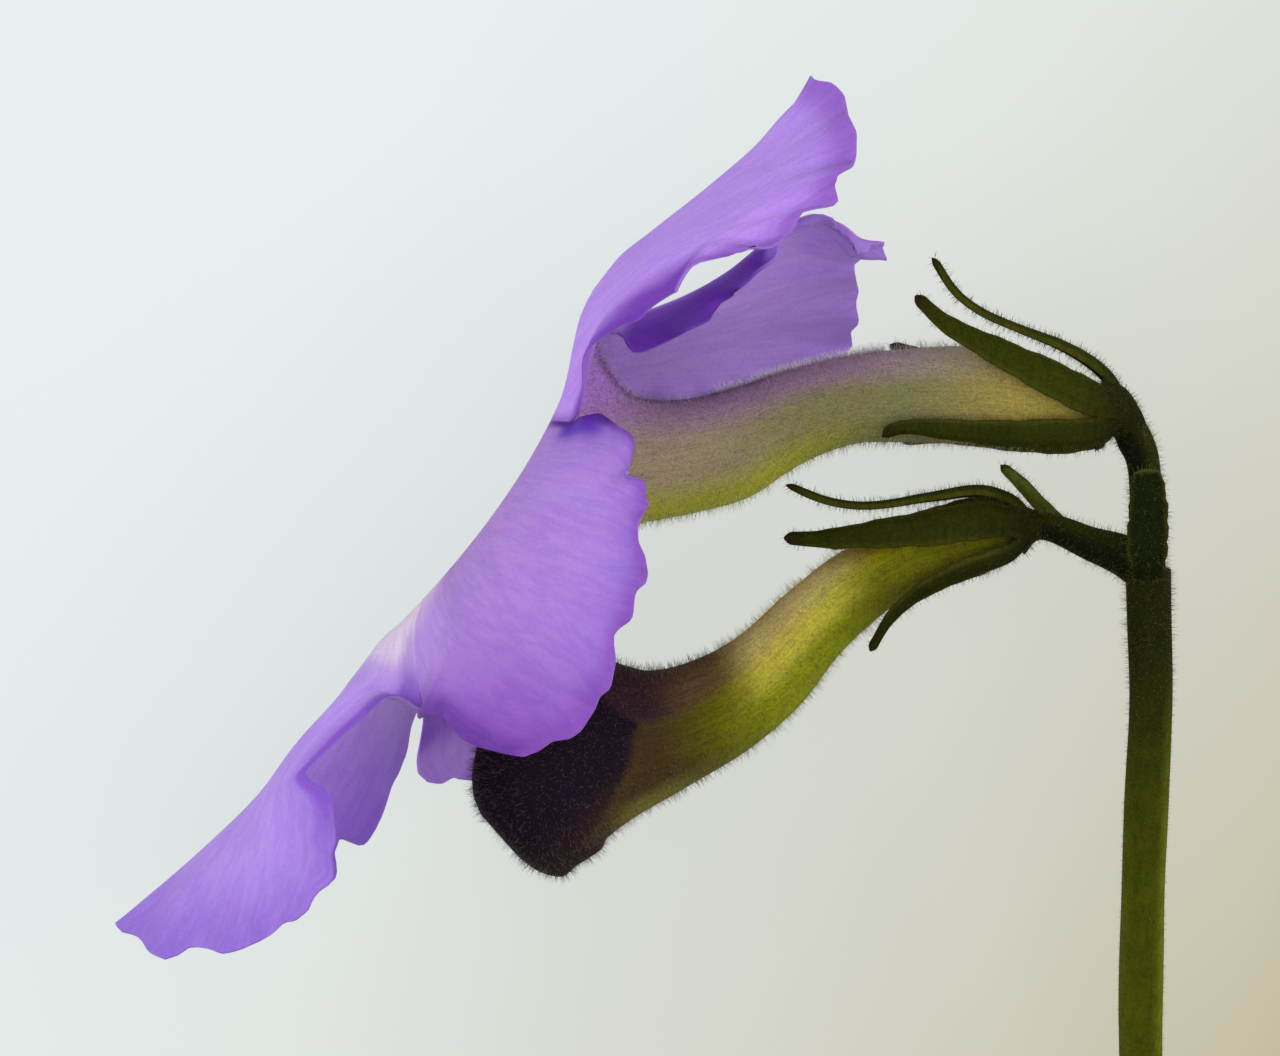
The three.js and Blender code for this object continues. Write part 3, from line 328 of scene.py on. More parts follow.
# How the floor warms and darkens across as painted light falling off from the upper left, how unevenly, from
# where and how fast it turns plain, its shade and its glow.
FLOOR = {"across": 10.6, "down": 7.6, "middle": 0.605, "bend": 2.0, "wash": 0.1, "plain_from": 0.06,
         "plain_rate": 8.0, "shade": 0.87, "glow": 0.78}
LIT_SPOT = (0, 0.01, 0.015)
LIGHTS = {
    "key_left": {"place": (-0.55, 0.2, 0.45), "size": 0.6, "power": 4.8, "colour": (0.95, 0.98, 1.0)},
    "fill_top": {"place": (0.1, -0.1, 0.8), "size": 0.7, "power": 4.0, "colour": (1.0, 0.99, 0.97)},
    "rim_right": {"place": (0.5, 0.1, 0.25), "size": 0.4, "power": 2.0, "colour": (1.0, 0.97, 0.9)},
}
WORLD_COLOUR, WORLD_STRENGTH = (0.86, 0.89, 0.9, 1), 0.35
VIEW_WIDTH, LENS, SENSOR = 64.0, 1000.0, 36.0


# ---- Curves -------------------------------------------------------------------------------
def knots_of(points):
    """Chord lengths along a run of points."""
    return np.concatenate([[0.0], np.cumsum(np.linalg.norm(np.diff(points, axis=0), axis=1))])


def curve(points, knots, x):
    """The smooth curve through points at their knots, at every x."""
    points, knots = np.asarray(points, float), np.asarray(knots, float)
    last = len(points) - 1
    x = np.atleast_1d(np.asarray(x, float))
    before = np.maximum(np.arange(last + 1) - 1, 0)
    after = np.minimum(np.arange(last + 1) + 1, last)
    slopes = (points[after] - points[before]) / (knots[after] - knots[before])[:, None]
    i = np.clip(np.searchsorted(knots, x, side="right") - 1, 0, last - 1)
    h = (knots[i + 1] - knots[i])[:, None]
    u = (x - knots[i])[:, None] / h
    return (
        (2 * u**3 - 3 * u**2 + 1) * points[i]
        + (u**3 - 2 * u**2 + u) * h * slopes[i]
        + (3 * u**2 - 2 * u**3) * points[i + 1]
        + (u**3 - u**2) * h * slopes[i + 1]
    )


def smooth(start, full, x):
    """A soft step from 0 at start to 1 at full, either of which may be the higher one."""
    u = np.clip((np.asarray(x, float) - start) / (full - start), 0, 1)
    return u * u * (3 - 2 * u)


def hump(x, middle, width):
    """A bell of height 1 round the middle."""
    return np.exp(-(((x - middle) / width) ** 2))


def unit(v):
    return v / np.maximum(np.linalg.norm(v, axis=-1, keepdims=True), TINY)


def evened(values, reach):
    """Running mean over the neighbours within reach."""
    wide = 2 * reach + 1
    return np.convolve(np.pad(values, reach, mode="edge"), np.ones(wide) / wide, mode="valid")


def cells(grid):
    """The four corners of each cell of a grid, row by row."""
    corners = np.stack([grid[:-1, :-1], grid[:-1, 1:], grid[1:, 1:], grid[1:, :-1]], 2)
    return corners.reshape(-1, *corners.shape[2:])


def ring_cells(rows, sides):
    """The four-sided faces between closed rings."""
    ids = np.arange(rows * sides).reshape(rows, sides)
    return cells(np.concatenate([ids, ids[:, :1]], 1))


def uv_cells(u, v):
    """Texture places of a grid's faces, from u along its rows and v at each of its points."""
    return cells(np.stack([np.broadcast_to(u, v.shape), v], -1))


# ---- Corolla ------------------------------------------------------------------------------
def flat(p):
    """A point of the mid-plane as three numbers."""
    return np.array([p[0], p[1], p[2] if len(p) > 2 else 0.0], float)


def ring_points(station, angles):
    """Points of an oval ring: 90 degrees is its top, 0 degrees its near side."""
    top, bottom = flat(station["top"]), flat(station["bottom"])
    centre, rise = (top + bottom) / 2, (top - bottom) / 2
    cos, sin = np.cos(angles)[:, None], np.sin(angles)[:, None]
    across = np.array([0, 0, station["wide"]])
    bow = flat(station.get("bow", (0, 0)))
    return centre + sin * rise + cos * across + cos**2 * bow + np.array([0, 0, station.get("z", 0)])


def lobe_angles(lobe, s):
    return np.radians(90 - 360 / LOBES * (lobe + np.asarray(s)))


def ribs_of(lobe):
    """The lobe's ribs from the tube's mouth over the seat to the margin, each with its knots."""
    shape = LOBE_SHAPES[lobe]
    first, last = shape["notches"]
    seat = [NOTCH[first], *shape["seat"], NOTCH[last]]
    crest = ring_points(TUBE[-1], lobe_angles(lobe, np.linspace(0, 1, len(seat))))
    ribs = [np.array([crest[i], seat[i], *rib], float) for i, rib in enumerate(shape["ribs"])]
    return [(points, knots_of(points)) for points in ribs]


def lobe_grid(ribs, s, t):
    """The smooth lobe at every t (rows, seat to margin) and s (columns, side to side)."""
    s, t = np.clip(s, 0, 1), np.clip(t, 0, 1)
    rows = np.stack([curve(p, k, k[1] + t * (k[-1] - k[1])) for p, k in ribs], 1)
    return np.stack([curve(row, np.linspace(0, 1, len(ribs)), s) for row in rows])


def lobe_points(ribs, s, t):
    """The smooth lobe at pairs of s and t."""
    s, t = np.clip(s, 0, 1), np.clip(t, 0, 1)
    out = np.empty((len(s), 3))
    for value in np.unique(t):
        mask = t == value
        out[mask] = lobe_grid(ribs, s[mask], np.array([value]))[0]
    return out


def crenate(places, lobe):
    """Rounded teeth of uneven size along a margin, as an offset outwards."""
    c = CRENATION
    drift = 0.7 * np.sin(places * 0.9 + 1.7 * lobe) + 0.35 * np.sin(places * 2.1 + 0.6 * lobe)
    size = 1 + c["swing"] * np.sin(places * 0.63 + 2.3 * lobe)
    return c["depth"] * size * (np.abs(np.sin(np.pi * (places + drift) / c["length"])) - c["mean"])


def reach_of_outline(points, outward, outlines, limit):
    """How far along outward each point is from the nearest outline, or nan where none is near."""
    a = np.concatenate([line[:-1] for line in outlines]).astype(float)
    b = np.concatenate([line[1:] for line in outlines]).astype(float)
    d = b - a
    best = np.full(len(points), np.nan)
    for i, (p, n) in enumerate(zip(points, outward)):
        cross = n[0] * d[:, 1] - n[1] * d[:, 0]
        cross[np.abs(cross) < TINY] = np.nan
        k = ((a[:, 0] - p[0]) * d[:, 1] - (a[:, 1] - p[1]) * d[:, 0]) / cross
        u = ((a[:, 0] - p[0]) * n[1] - (a[:, 1] - p[1]) * n[0]) / cross
        hits = k[(u >= 0) & (u <= 1) & (np.abs(k) < limit)]
        if len(hits):
            best[i] = hits[np.argmin(np.abs(hits))]
    return best


def lobe_surface(lobe):
    """The crenate, ruffled lobe: points, and each point's reach from the middle (0) to the margin (1)."""
    ribs, shape = ribs_of(lobe), LOBE_SHAPES[lobe]
    s = np.linspace(0, 1, LOBE_COLUMNS + 1)
    step = 0.01

    def directions(points_at, s_, t_):
        along_s = unit(points_at(ribs, s_ + step, t_) - points_at(ribs, s_ - step, t_))
        along_t = unit(points_at(ribs, s_, t_ + step) - points_at(ribs, s_, t_ - step))
        return along_s, along_t, unit(np.cross(along_s, along_t))

    steps, start, stop = np.linspace(0, 1, 17), np.array([0.0]), np.array([1.0])
    first = knots_of(lobe_grid(ribs, start, steps)[:, 0])[-1]
    last = knots_of(lobe_grid(ribs, stop, steps)[:, 0])[-1]
    half_end = knots_of(lobe_grid(ribs, steps, stop)[0])[-1] / 2

    def place(a, t_):
        """Where on the margin, in mm from its middle, a point of the lobe points to."""
        on_end = a / np.maximum(t_, 1e-6) * half_end
        on_side = half_end + np.where(a < 0, first, last) * (1 - t_ / np.maximum(np.abs(a), 1e-6))
        return np.where(np.abs(a) <= t_, on_end, np.sign(a) * on_side)

    def calm(a, t_):
        """How calm the lobe is: its calm side, if it has one, lies smooth out to half of its length."""
        return smooth(0.3, 0.9, shape.get("calm", 0) * a) * smooth(0.7, 0.5, t_)

    def waves(points, normal, a, t_):
        reach = np.maximum(np.abs(a), t_)
        corner = CORNER_CALM * smooth(0.7, 1, np.minimum(np.abs(a), t_))
        rise = smooth(0, 0.35, t_) * (1 - corner) * (1 - calm(a, t_)) * (reach > 0.3)
        turns = 2 * np.pi * place(a, t_)
        wave = np.sin(turns / RUFFLE["length"] + lobe)
        ripple = RUFFLE["ripple"] * np.sin(turns / RUFFLE["ripple_length"] + 2 * lobe)
        height = RUFFLE["height"] * rise * reach ** RUFFLE["fade"] * (wave + ripple)
        return points + normal * height[..., None]

    grid = lobe_grid(ribs, s, T_ROWS)
    along_s, along_t, normal = directions(lobe_grid, s, T_ROWS)
    a = np.broadcast_to(2 * s - 1, grid.shape[:2])
    t = np.broadcast_to(T_ROWS[:, None], grid.shape[:2])
    grid = waves(grid, normal, a, t)
    outward = unit(along_s * a[..., None] + along_t * t[..., None])

    # The margin, from the first notch round to the last, and how far it has to move out.
    m = np.linspace(-(half_end + first), half_end + last, MARGIN["samples"])
    past = np.abs(m) > half_end
    ma = np.where(past, np.sign(m), m / half_end)
    mt = np.where(past, 1 - (np.abs(m) - half_end) / np.where(m < 0, first, last), 1.0)
    ms = (ma + 1) / 2
    m_s, m_t, m_normal = directions(lobe_points, ms, mt)
    margin = waves(lobe_points(ribs, ms, mt), m_normal, ma, mt)[:, :2]
    out = unit(m_s * ma[:, None] + m_t * mt[:, None])[:, :2]
    offset = crenate(m, lobe) * smooth(0, 0.35, mt) * (1 - calm(ma, mt))
    found = reach_of_outline(margin, unit(out), shape["outlines"], shape.get("limit", MARGIN["limit"]))
    found = found / np.maximum(np.linalg.norm(out, axis=1), MARGIN["steepest"])
    trust = evened(smooth(0, 0.12, mt) * np.isfinite(found), MARGIN["ease"]) * np.isfinite(found)
    offset = np.where(trust > 0, trust * np.nan_to_num(found) + (1 - trust) * offset, offset)
    around = range(-MARGIN["ease"], MARGIN["ease"] + 1)
    usual = np.median(np.stack([np.roll(offset, k) for k in around]), 0)
    offset = evened(np.where(np.abs(offset - usual) > MARGIN["jump"], usual, offset), 2)
    reach = np.maximum(np.abs(a), t)
    move = np.interp(place(a, t), m, offset) * reach ** CRENATION["fade"] * (t > 0)
    return {"grid": grid + outward * move[..., None], "reach": reach, "ribs": ribs}


def corolla_sheet():
    """The corolla as one sheet: points, four-sided faces, texture places and facts about each point."""
    lobes = [lobe_surface(lobe) for lobe in range(LOBES)]
    columns, wide = LOBES * LOBE_COLUMNS, LOBE_COLUMNS + 1
    s = np.arange(wide) / LOBE_COLUMNS
    angles = np.concatenate([lobe_angles(lobe, s[:-1]) for lobe in range(LOBES)])
    seat = np.concatenate([shape["grid"][0, :-1] for shape in lobes])
    ahead = np.concatenate([lobe_grid(shape["ribs"], s[:-1], np.array([0.25]))[0] for shape in lobes])
    stack = np.stack([*(ring_points(station, angles) for station in TUBE), seat, ahead])
    where = [(i, j / rows) for i, rows in enumerate(TUBE_ROWS) for j in range(rows)] + [(len(TUBE), 0)]
    tube, lengths = np.empty((len(where), columns, 3)), np.empty((len(where), columns))
    for c in range(columns):
        knots = knots_of(stack[:, c])
        lengths[:, c] = [knots[i] + u * (knots[i + 1] - knots[i]) for i, u in where]
        tube[:, c] = curve(stack[:, c], knots, lengths[:, c])
    around = np.arange(columns + 1)
    quads = [ring_cells(len(where), columns)]
    uvs = [uv_cells(around / LOBE_COLUMNS, lengths[:, around % columns])]
    sheets = [{
        "points": tube, "along": np.array([i + u for i, u in where])[:, None], "turn": angles, "t": 0.0,
        "s": np.tile(s[:-1], LOBES), "lobe": np.repeat(np.arange(LOBES), LOBE_COLUMNS), "reach": 0.0,
    }]
    count, fresh = len(where) * columns, np.arange(LOBE_ROWS * wide).reshape(LOBE_ROWS, wide)
    for lobe, shape in enumerate(lobes):
        under = (lobe * LOBE_COLUMNS + np.arange(wide)) % columns
        quads.append(cells(np.vstack([(len(where) - 1) * columns + under, count + fresh])))
        run = np.linalg.norm(np.diff(shape["grid"], axis=0), axis=2)
        start = lengths[-1, under]
        uvs.append(uv_cells(lobe + s, np.vstack([start, start + np.cumsum(run, 0)])))
        count += fresh.size
        sheets.append({
            "points": shape["grid"][1:], "along": len(TUBE) + T_ROWS[1:, None], "t": T_ROWS[1:, None],
            "turn": lobe_angles(lobe, s), "s": s, "lobe": lobe, "reach": shape["reach"][1:],
        })
    facts = {}
    for key in ("along", "turn", "t", "s", "lobe", "reach"):
        parts = [np.broadcast_to(sheet[key], sheet["points"].shape[:2]).ravel() for sheet in sheets]
        facts[key] = np.concatenate(parts)
    points = np.concatenate([sheet["points"].reshape(-1, 3) for sheet in sheets])
    return points, np.concatenate(quads), np.concatenate(uvs), facts


def sheet_normals(points, quads):
    a, b, c, d = (points[quads[:, k]] for k in range(4))
    out = np.zeros_like(points)
    for k in range(4):
        np.add.at(out, quads[:, k], np.cross(c - a, d - b))
    return unit(out)


def free_edges(quads):
    """The sheet's border, as pairs of points in the order of the face they belong to."""
    pairs = np.concatenate([quads[:, [k, (k + 1) % 4]] for k in range(4)]).astype(np.int64)
    big = pairs.max() + 1
    return pairs[~np.isin(pairs[:, 0] * big + pairs[:, 1], pairs[:, 1] * big + pairs[:, 0])]


# ---- Round and leaf-shaped pieces ---------------------------------------------------------
def stations_along(path, steps):
    """Places on the path at even steps, its direction there, and each place's part of the length."""
    points = np.array(path, float)
    knots = knots_of(points)
    length = knots[-1]
    x, step = np.linspace(0, length, steps + 1), length / 200
    ahead, behind = np.minimum(x + step, length), np.maximum(x - step, 0)
    along = unit(curve(points, knots, ahead) - curve(points, knots, behind))
    return curve(points, knots, x), along, x / length, knots


def with_ends(rings):
    """Values ring by ring, followed by the means of the first and the last ring."""
    ends = [rings[0].mean(0)[None], rings[-1].mean(0)[None]]
    return np.concatenate([rings.reshape(-1, rings.shape[-1]), *ends])


def loft(rings):
    """Closed solid through rings (rows, sides, 3), with a fan over each end."""
    rows, sides = rings.shape[:2]
    c = np.arange(sides)
    d = (c + 1) % sides
    middle, last = rows * sides, (rows - 1) * sides
    fans = np.concatenate([
        np.stack([np.full(sides, middle), d, c], 1),
        np.stack([np.full(sides, middle + 1), last + c, last + d], 1),
    ])
    return with_ends(rings), ring_cells(rows, sides), fans


def stalk_rings(shape, steps, sides, swell=None):
    """Rings of a round stalk. swell gives extra radius from part along and angle."""
    at, along, part, knots = stations_along(shape["path"], steps)
    radius = curve(np.array(shape["radii"], float)[:, None], knots, part * knots[-1])
    side = np.array([0.0, 0.0, 1.0])
    across = unit(side - along * (along @ side)[:, None])
    up = np.cross(along, across)
    angle = 2 * np.pi * np.arange(sides) / sides
    r = (radius + (swell(part[:, None], angle[None]) if swell else 0))[..., None]
    cos, sin = np.cos(angle)[None, :, None], np.sin(angle)[None, :, None]
    return at[:, None] + across[:, None] * r * cos + up[:, None] * r * sin


def blade_rings(shape, steps, seed):
    """Rings of a sepal or bract: lens section, arched across, with a midrib and a slightly uneven edge."""
    half = 14
    at, along, part, _ = stations_along(shape["path"], steps)
    past = np.maximum(part - shape["narrows"], 0) / (1 - shape["narrows"])
    taper = np.maximum(1 - past**2, 0) ** (shape["slim"] / 2)
    root = shape["root"] + (1 - shape["root"]) * smooth(0, shape["full"], part)
    spread = shape["breadth"] / 2 * root * (shape["blunt"] + (1 - shape["blunt"]) * taper)
    coarse, fine = shape["uneven"]
    spread = spread * (1 + coarse * np.sin(part * 31 + seed) + fine * np.sin(part * 67 + 2 * seed))
    close = np.sqrt(np.clip(1 - smooth(0.96, 1.0, part) ** 2, 0.04, 1))
    face = np.array(shape["face"], float)
    out = unit(face - along * (along @ face)[:, None])
    across = np.cross(out, along)
    thick = np.minimum(shape["thick"] + shape["root_thick"] * smooth(0.6, 0.1, part), spread * 0.8)
    edge = np.minimum(thick * 0.6, shape["edge"])
    u = np.concatenate([np.linspace(1, -1, half), np.linspace(-1, 1, half)])
    sign = np.concatenate([np.ones(half), -np.ones(half)])
    bulge = edge[:, None] + (thick - edge)[:, None] * (1 - u**2)
    arch = shape["arch"] * spread[:, None] * (1 - u**2)
    rib = shape["rib"] * hump(u, 0, shape["rib_width"]) * (1 - part[:, None]) * np.where(sign > 0, -0.9, 1.0)
    height = (arch + sign * (bulge + rib)) * close[:, None]
    width = (spread * close)[:, None] * u
    return at[:, None] + across[:, None] * width[..., None] + out[:, None] * height[..., None]


def bud_rings():
    """Rings of the closed bud, how far each point lies inside a folded lobe, its station and its angle."""
    angles = 2 * np.pi * np.arange(BUD_SIDES) / BUD_SIDES
    stations = np.stack([ring_points(station, angles) for station in BUD])
    x = np.linspace(0, 1, BUD_ROWS + 1)[:, None] * (len(BUD) - 1)
    index = np.arange(len(BUD), dtype=float)
    rings = np.stack([curve(stations[:, c], index, x[:, 0]) for c in range(BUD_SIDES)], 1)
    out = unit(rings - rings.mean(1, keepdims=True))
    fold, lift = np.zeros(rings.shape[:2]), np.zeros(rings.shape[:2])
    for flap in BUD_FLAPS:
        turn = np.arccos(np.clip(np.cos(angles - flap["around"]), -1, 1))
        inside = 1 - np.hypot((x - flap["along"]) / flap["long"], turn / flap["wide"])
        lift = np.maximum(lift, flap["lift"] * smooth(0, 0.09, inside))
        fold = np.maximum(fold, smooth(-0.03, 0.05, inside))
    ridges = 0.05 * np.cos(5 * angles + 0.3 * x) * smooth(3, 7, x)
    return rings + out * (lift + ridges)[..., None], fold, x, angles


# ---- Frame and meshes ---------------------------------------------------------------------
def row_shift():
    """From the shapes' own origin to the row frame, read off the cut end of the stalk."""
    low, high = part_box("flower_stalk")
    return np.array([high[0] / MM - STEM_END[0] - STEM_RADIUS, low[1] / MM - STEM_END[1], -FLOOR_Z])


SHIFT = row_shift()


def to_frame(points):
    """Row frame in metres; whatever would sink into the surface lies on it."""
    moved = np.asarray(points, float) + SHIFT
    moved[:, 2] = np.maximum(moved[:, 2], 0)
    return moved * MM


def add_object(name, data):
    made = bpy.data.objects.new(name, data)
    bpy.context.scene.collection.objects.link(made)
    return made


def add_mesh(name, points, faces, material, tint=None, uv=None, node=None, sharp=None):
    """A mesh object that rides with the part. faces is a list of arrays of three- or four-sided faces."""
    mesh = bpy.data.meshes.new(name)
    mesh.from_pydata(to_frame(points).tolist(), [], [f for part in faces for f in part.tolist()])
    mesh.validate()
    mesh.polygons.foreach_set("use_smooth", np.ones(len(mesh.polygons), bool))
    if sharp is not None:
        mesh.set_sharp_from_angle(angle=math.radians(sharp))
    if tint is not None:
        colours = mesh.color_attributes.new(name="tint", type="FLOAT_COLOR", domain="POINT")
        rgba = np.ones((len(points), 4), np.float32)
        rgba[:, :tint.shape[1]] = tint
        colours.data.foreach_set("color", rgba.ravel())
    if uv is not None:
        places = mesh.uv_layers.new(name="veins")
        places.data.foreach_set("uv", uv.astype(np.float32).ravel())
    mesh.materials.append(material)
    ob = add_object(name, mesh)
    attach(ob, "root")
    if node:
        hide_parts(node)


def merge(parts):
    """Several closed shells (points, quads, fans, tint) as one mesh's arrays."""
    points, faces, tints, count = [], [], [], 0
    for p, quads, fans, tint in parts:
        points.append(p)
        faces += [quads + count, fans + count]
        tints.append(tint)
        count += len(p)
    return np.concatenate(points), faces, np.concatenate(tints)


# ---- Colours and tints --------------------------------------------------------------------
def linear(*colour):
    """An 8-bit sRGB colour as linear light."""
    c = np.array(colour, float) / 255
    return np.where(c <= 0.04045, c / 12.92, ((c + 0.055) / 1.055) ** 2.4)


def blend(a, b, k):
    k = np.asarray(k, float)[..., None]
    return a * (1 - k) + b * k


def layer(colour, share, on=None, **windows):
    """A layer of colour: its share, the lobes that it is on, and for each fact the values between which it
    comes in, and goes out again where there are four."""
    return colour, share, on, windows


def paint(base, facts, *layers):
    """Layers laid over a base colour, one after another."""
    for colour, share, on, windows in layers:
        if on is not None:
            share = share * np.isin(facts["lobe"], on)
        for key, values in windows.items():
            share = share * smooth(*values[:2], facts[key])
            if values[2:]:
                share = share * (1 - smooth(*values[2:], facts[key]))
        base = blend(base, colour, share)
    return base


LILAC, LILAC_SIDE, LILAC_LOWER = linear(202, 162, 240), linear(186, 146, 221), linear(200, 168, 236)
LILAC_DEEP, LILAC_PALE, LILAC_CLEAR = linear(140, 98, 206), linear(250, 234, 255), linear(212, 172, 255)
# Painted shade in dark violet: on the near side lobe's lower left, along margins that also deepen in their
# own colour, at folded edges and under curled rims.
VIOLET_MARGIN_AND_SHADE, VIOLET_EDGE_SHADE, VIOLET_RIM_SHADE = linear(146, 84, 184), linear(112, 62, 160), linear(82, 32, 138)
# Painted shade in dark violet: in the hollow below a curled rim, and on a curled margin.
VIOLET_HOLLOW_SHADE, VIOLET_CURL_SHADE = linear(92, 43, 178), linear(124, 68, 178)
# The second is painted shade: the dark violet of rolled lobes, and of a lobe lying under another.
VIOLET_BAND, VIOLET_ROLL_SHADE = linear(146, 90, 204), linear(121, 59, 181)
BACK, BACK_LOWER, THROAT = linear(192, 155, 228), linear(194, 146, 244), linear(238, 236, 214)
# The first is dark violet along the tube's top crease: a deeper colour of its own, with painted shade.
TUBE_CREASE_SHADE, TUBE_MOUTH = linear(106, 60, 134), linear(180, 126, 208)
TUBE_TOP, TUBE_TOP_BASE, TUBE_SIDE = linear(188, 152, 178), linear(206, 200, 168), linear(152, 154, 92)
TUBE_FRONT, TUBE_LOW, TUBE_BASE = linear(188, 173, 130), linear(196, 206, 18), linear(203, 186, 80)
# The middle colour is a painted glow through the bud.
BUD_UPPER, BUD_PAINTED_GLOW, BUD_LOWER = linear(162, 154, 12), linear(234, 228, 84), linear(152, 164, 24)
BUD_SHADE, BUD_DUSK, BUD_EDGE = linear(107, 106, 14), linear(118, 92, 60), linear(136, 134, 52)
# The tan is a painted highlight along the bud's top.
BUD_TAN_HIGHLIGHT, BUD_BROWN, BUD_NIGHT = linear(255, 240, 150), linear(82, 64, 34), linear(64, 42, 50)
BUD_DARK, BUD_LOBE = linear(56, 38, 34), linear(36, 23, 38)
SEPAL_GREEN, SEPAL_DARK = linear(54, 58, 6), linear(27, 27, 6)
# A brownish tip, and a lighter green at the edges of blades as painted edge light.
SEPAL_TIP, SEPAL_EDGE_LIGHT = linear(44, 34, 10), linear(96, 92, 30)
# Bract greens; the second is the near bract's lighter tip, a painted highlight.
BRACT_NEAR, BRACT_TIP_HIGHLIGHT, BRACT_FAR = linear(24, 30, 6), linear(112, 118, 56), linear(100, 104, 40)
# The second is painted rim light on the stem's sides.
STALK_GREEN, STALK_PAINTED_RIM_LIGHT, STALK_DARK = linear(70, 73, 5), linear(112, 118, 22), linear(18, 20, 5)
PITH = linear(176, 186, 120)
UPPER_NEAR, SIDE_NEAR, LOWER, SIDE_FAR, UPPER_FAR = range(LOBES)


def face_tint(facts):
    """Colour of the corolla's face: throat and lobes, deep margins, painted shade in dark rims and hollows
    where the lobes fold and curl, and a painted light spot on the lower lobe.
    """
    s, t, along, reach = facts["s"], facts["t"], facts["along"], facts["reach"]
    facts = {
        **facts,
        "petal": (t > 0) * 1.0,
        "hooked": along - 0.4 * smooth(0.05, 0.15, s),
        "inwards": s - 0.05 * smooth(0.15, 0.0, t),
    }
    deep = 0.3 * smooth(0.75, 1, reach)
    deep = deep + 0.3 * np.isin(facts["lobe"], (SIDE_NEAR, LOWER)) * smooth(0.45, 1, reach)
    # A painted light spot on the lower lobe by the throat, lightening a seat that lies in shade.
    painted_light_spot = hump(s, 0.16, 0.07) * hump(along, 11.05, 0.2)
    petal = paint(
        LILAC, facts,
        layer(LILAC_SIDE, 1, (SIDE_NEAR, SIDE_FAR)),
        layer(LILAC_LOWER, 1, LOWER),
        layer(LILAC_DEEP, deep),
        layer(LILAC_CLEAR, 0.8, SIDE_NEAR, along=(11.1, 10.4), s=(0.78, 0.92)),
        layer(LILAC_CLEAR, painted_light_spot, LOWER),
        layer(LILAC_PALE, 0.95, LOWER, hooked=(10.5, 10.15), s=(0.5, 0.2)),
        layer(LILAC_PALE, 0.85, SIDE_NEAR, along=(10.5, 9.8), s=(0.78, 0.92)),
        # Painted shade on the near side lobe's lower left, and along the near lobes' margins with a deeper
        # violet of their own.
        layer(VIOLET_MARGIN_AND_SHADE, 0.8, SIDE_NEAR, s=(0.6, 0.97), t=(-0.2, 0.7)),
        layer(VIOLET_MARGIN_AND_SHADE, 0.65, (UPPER_NEAR, SIDE_NEAR), reach=(0.86, 0.98)),
        # Painted shade on the near upper lobe's curled margin.
        layer(VIOLET_CURL_SHADE, 1, UPPER_NEAR, s=(0.8, 0.93), t=(0.1, 0.36, 0.5, 0.6)),
        # Painted shade on the near upper lobe's rolled column.
        layer(VIOLET_ROLL_SHADE, 0.55, UPPER_NEAR, petal=(0, 1), s=(0.93, 0.985), t=(0.45, 0.3)),
        # Painted shade in the hollow below the near side lobe's rim.
        layer(VIOLET_HOLLOW_SHADE, 1, SIDE_NEAR, s=(0.15, 0.05), t=(0.58, 0.3), along=(10.5, 10.9)),
        # Painted shade at folded edges of the near side and near upper lobes.
        layer(VIOLET_EDGE_SHADE, 0.85, SIDE_NEAR, s=(0.92, 0.985), t=(1, 0.85), along=(10.75, 11.05)),
        layer(VIOLET_EDGE_SHADE, 0.7, UPPER_NEAR, s=(0.955, 0.995), t=(0.1, 0), along=(9.5, 10.6)),
        # Painted shade: a dark line under the near side lobe's curled rim.
        layer(VIOLET_RIM_SHADE, 1 - 0.6 * smooth(0.5, 0.8, t), SIDE_NEAR, s=(0.05, 0.01), along=(9.5, 10.6)),
        layer(VIOLET_BAND, 0.95, LOWER, inwards=(0.065, 0.025), t=(0.8, 0.55), along=(10.6, 10.9)),
        # Painted shade in the crease at the lower lobe's edge.
        layer(VIOLET_EDGE_SHADE, 0.5, LOWER, s=(0.04, 0.01), t=(0.25, 0.1), along=(10.7, 10.95)),
        # Painted shade on the far upper lobe's rolled strip.
        layer(VIOLET_ROLL_SHADE, 1, UPPER_FAR, s=(0.7, 0.8), t=(0, 0.05, 0.54, 0.64)),
    )
    guides = 0.7 * hump((s * GUIDES_PER_LOBE) % 1, 0.5, 0.11)
    inner = paint(
        THROAT, facts,
        layer(LILAC_DEEP, guides, (SIDE_NEAR, LOWER, SIDE_FAR), along=(7.5, 9.5), t=(0.5, 0.1)),
    )
    return blend(inner, petal, smooth(8.2, 9.8, along))


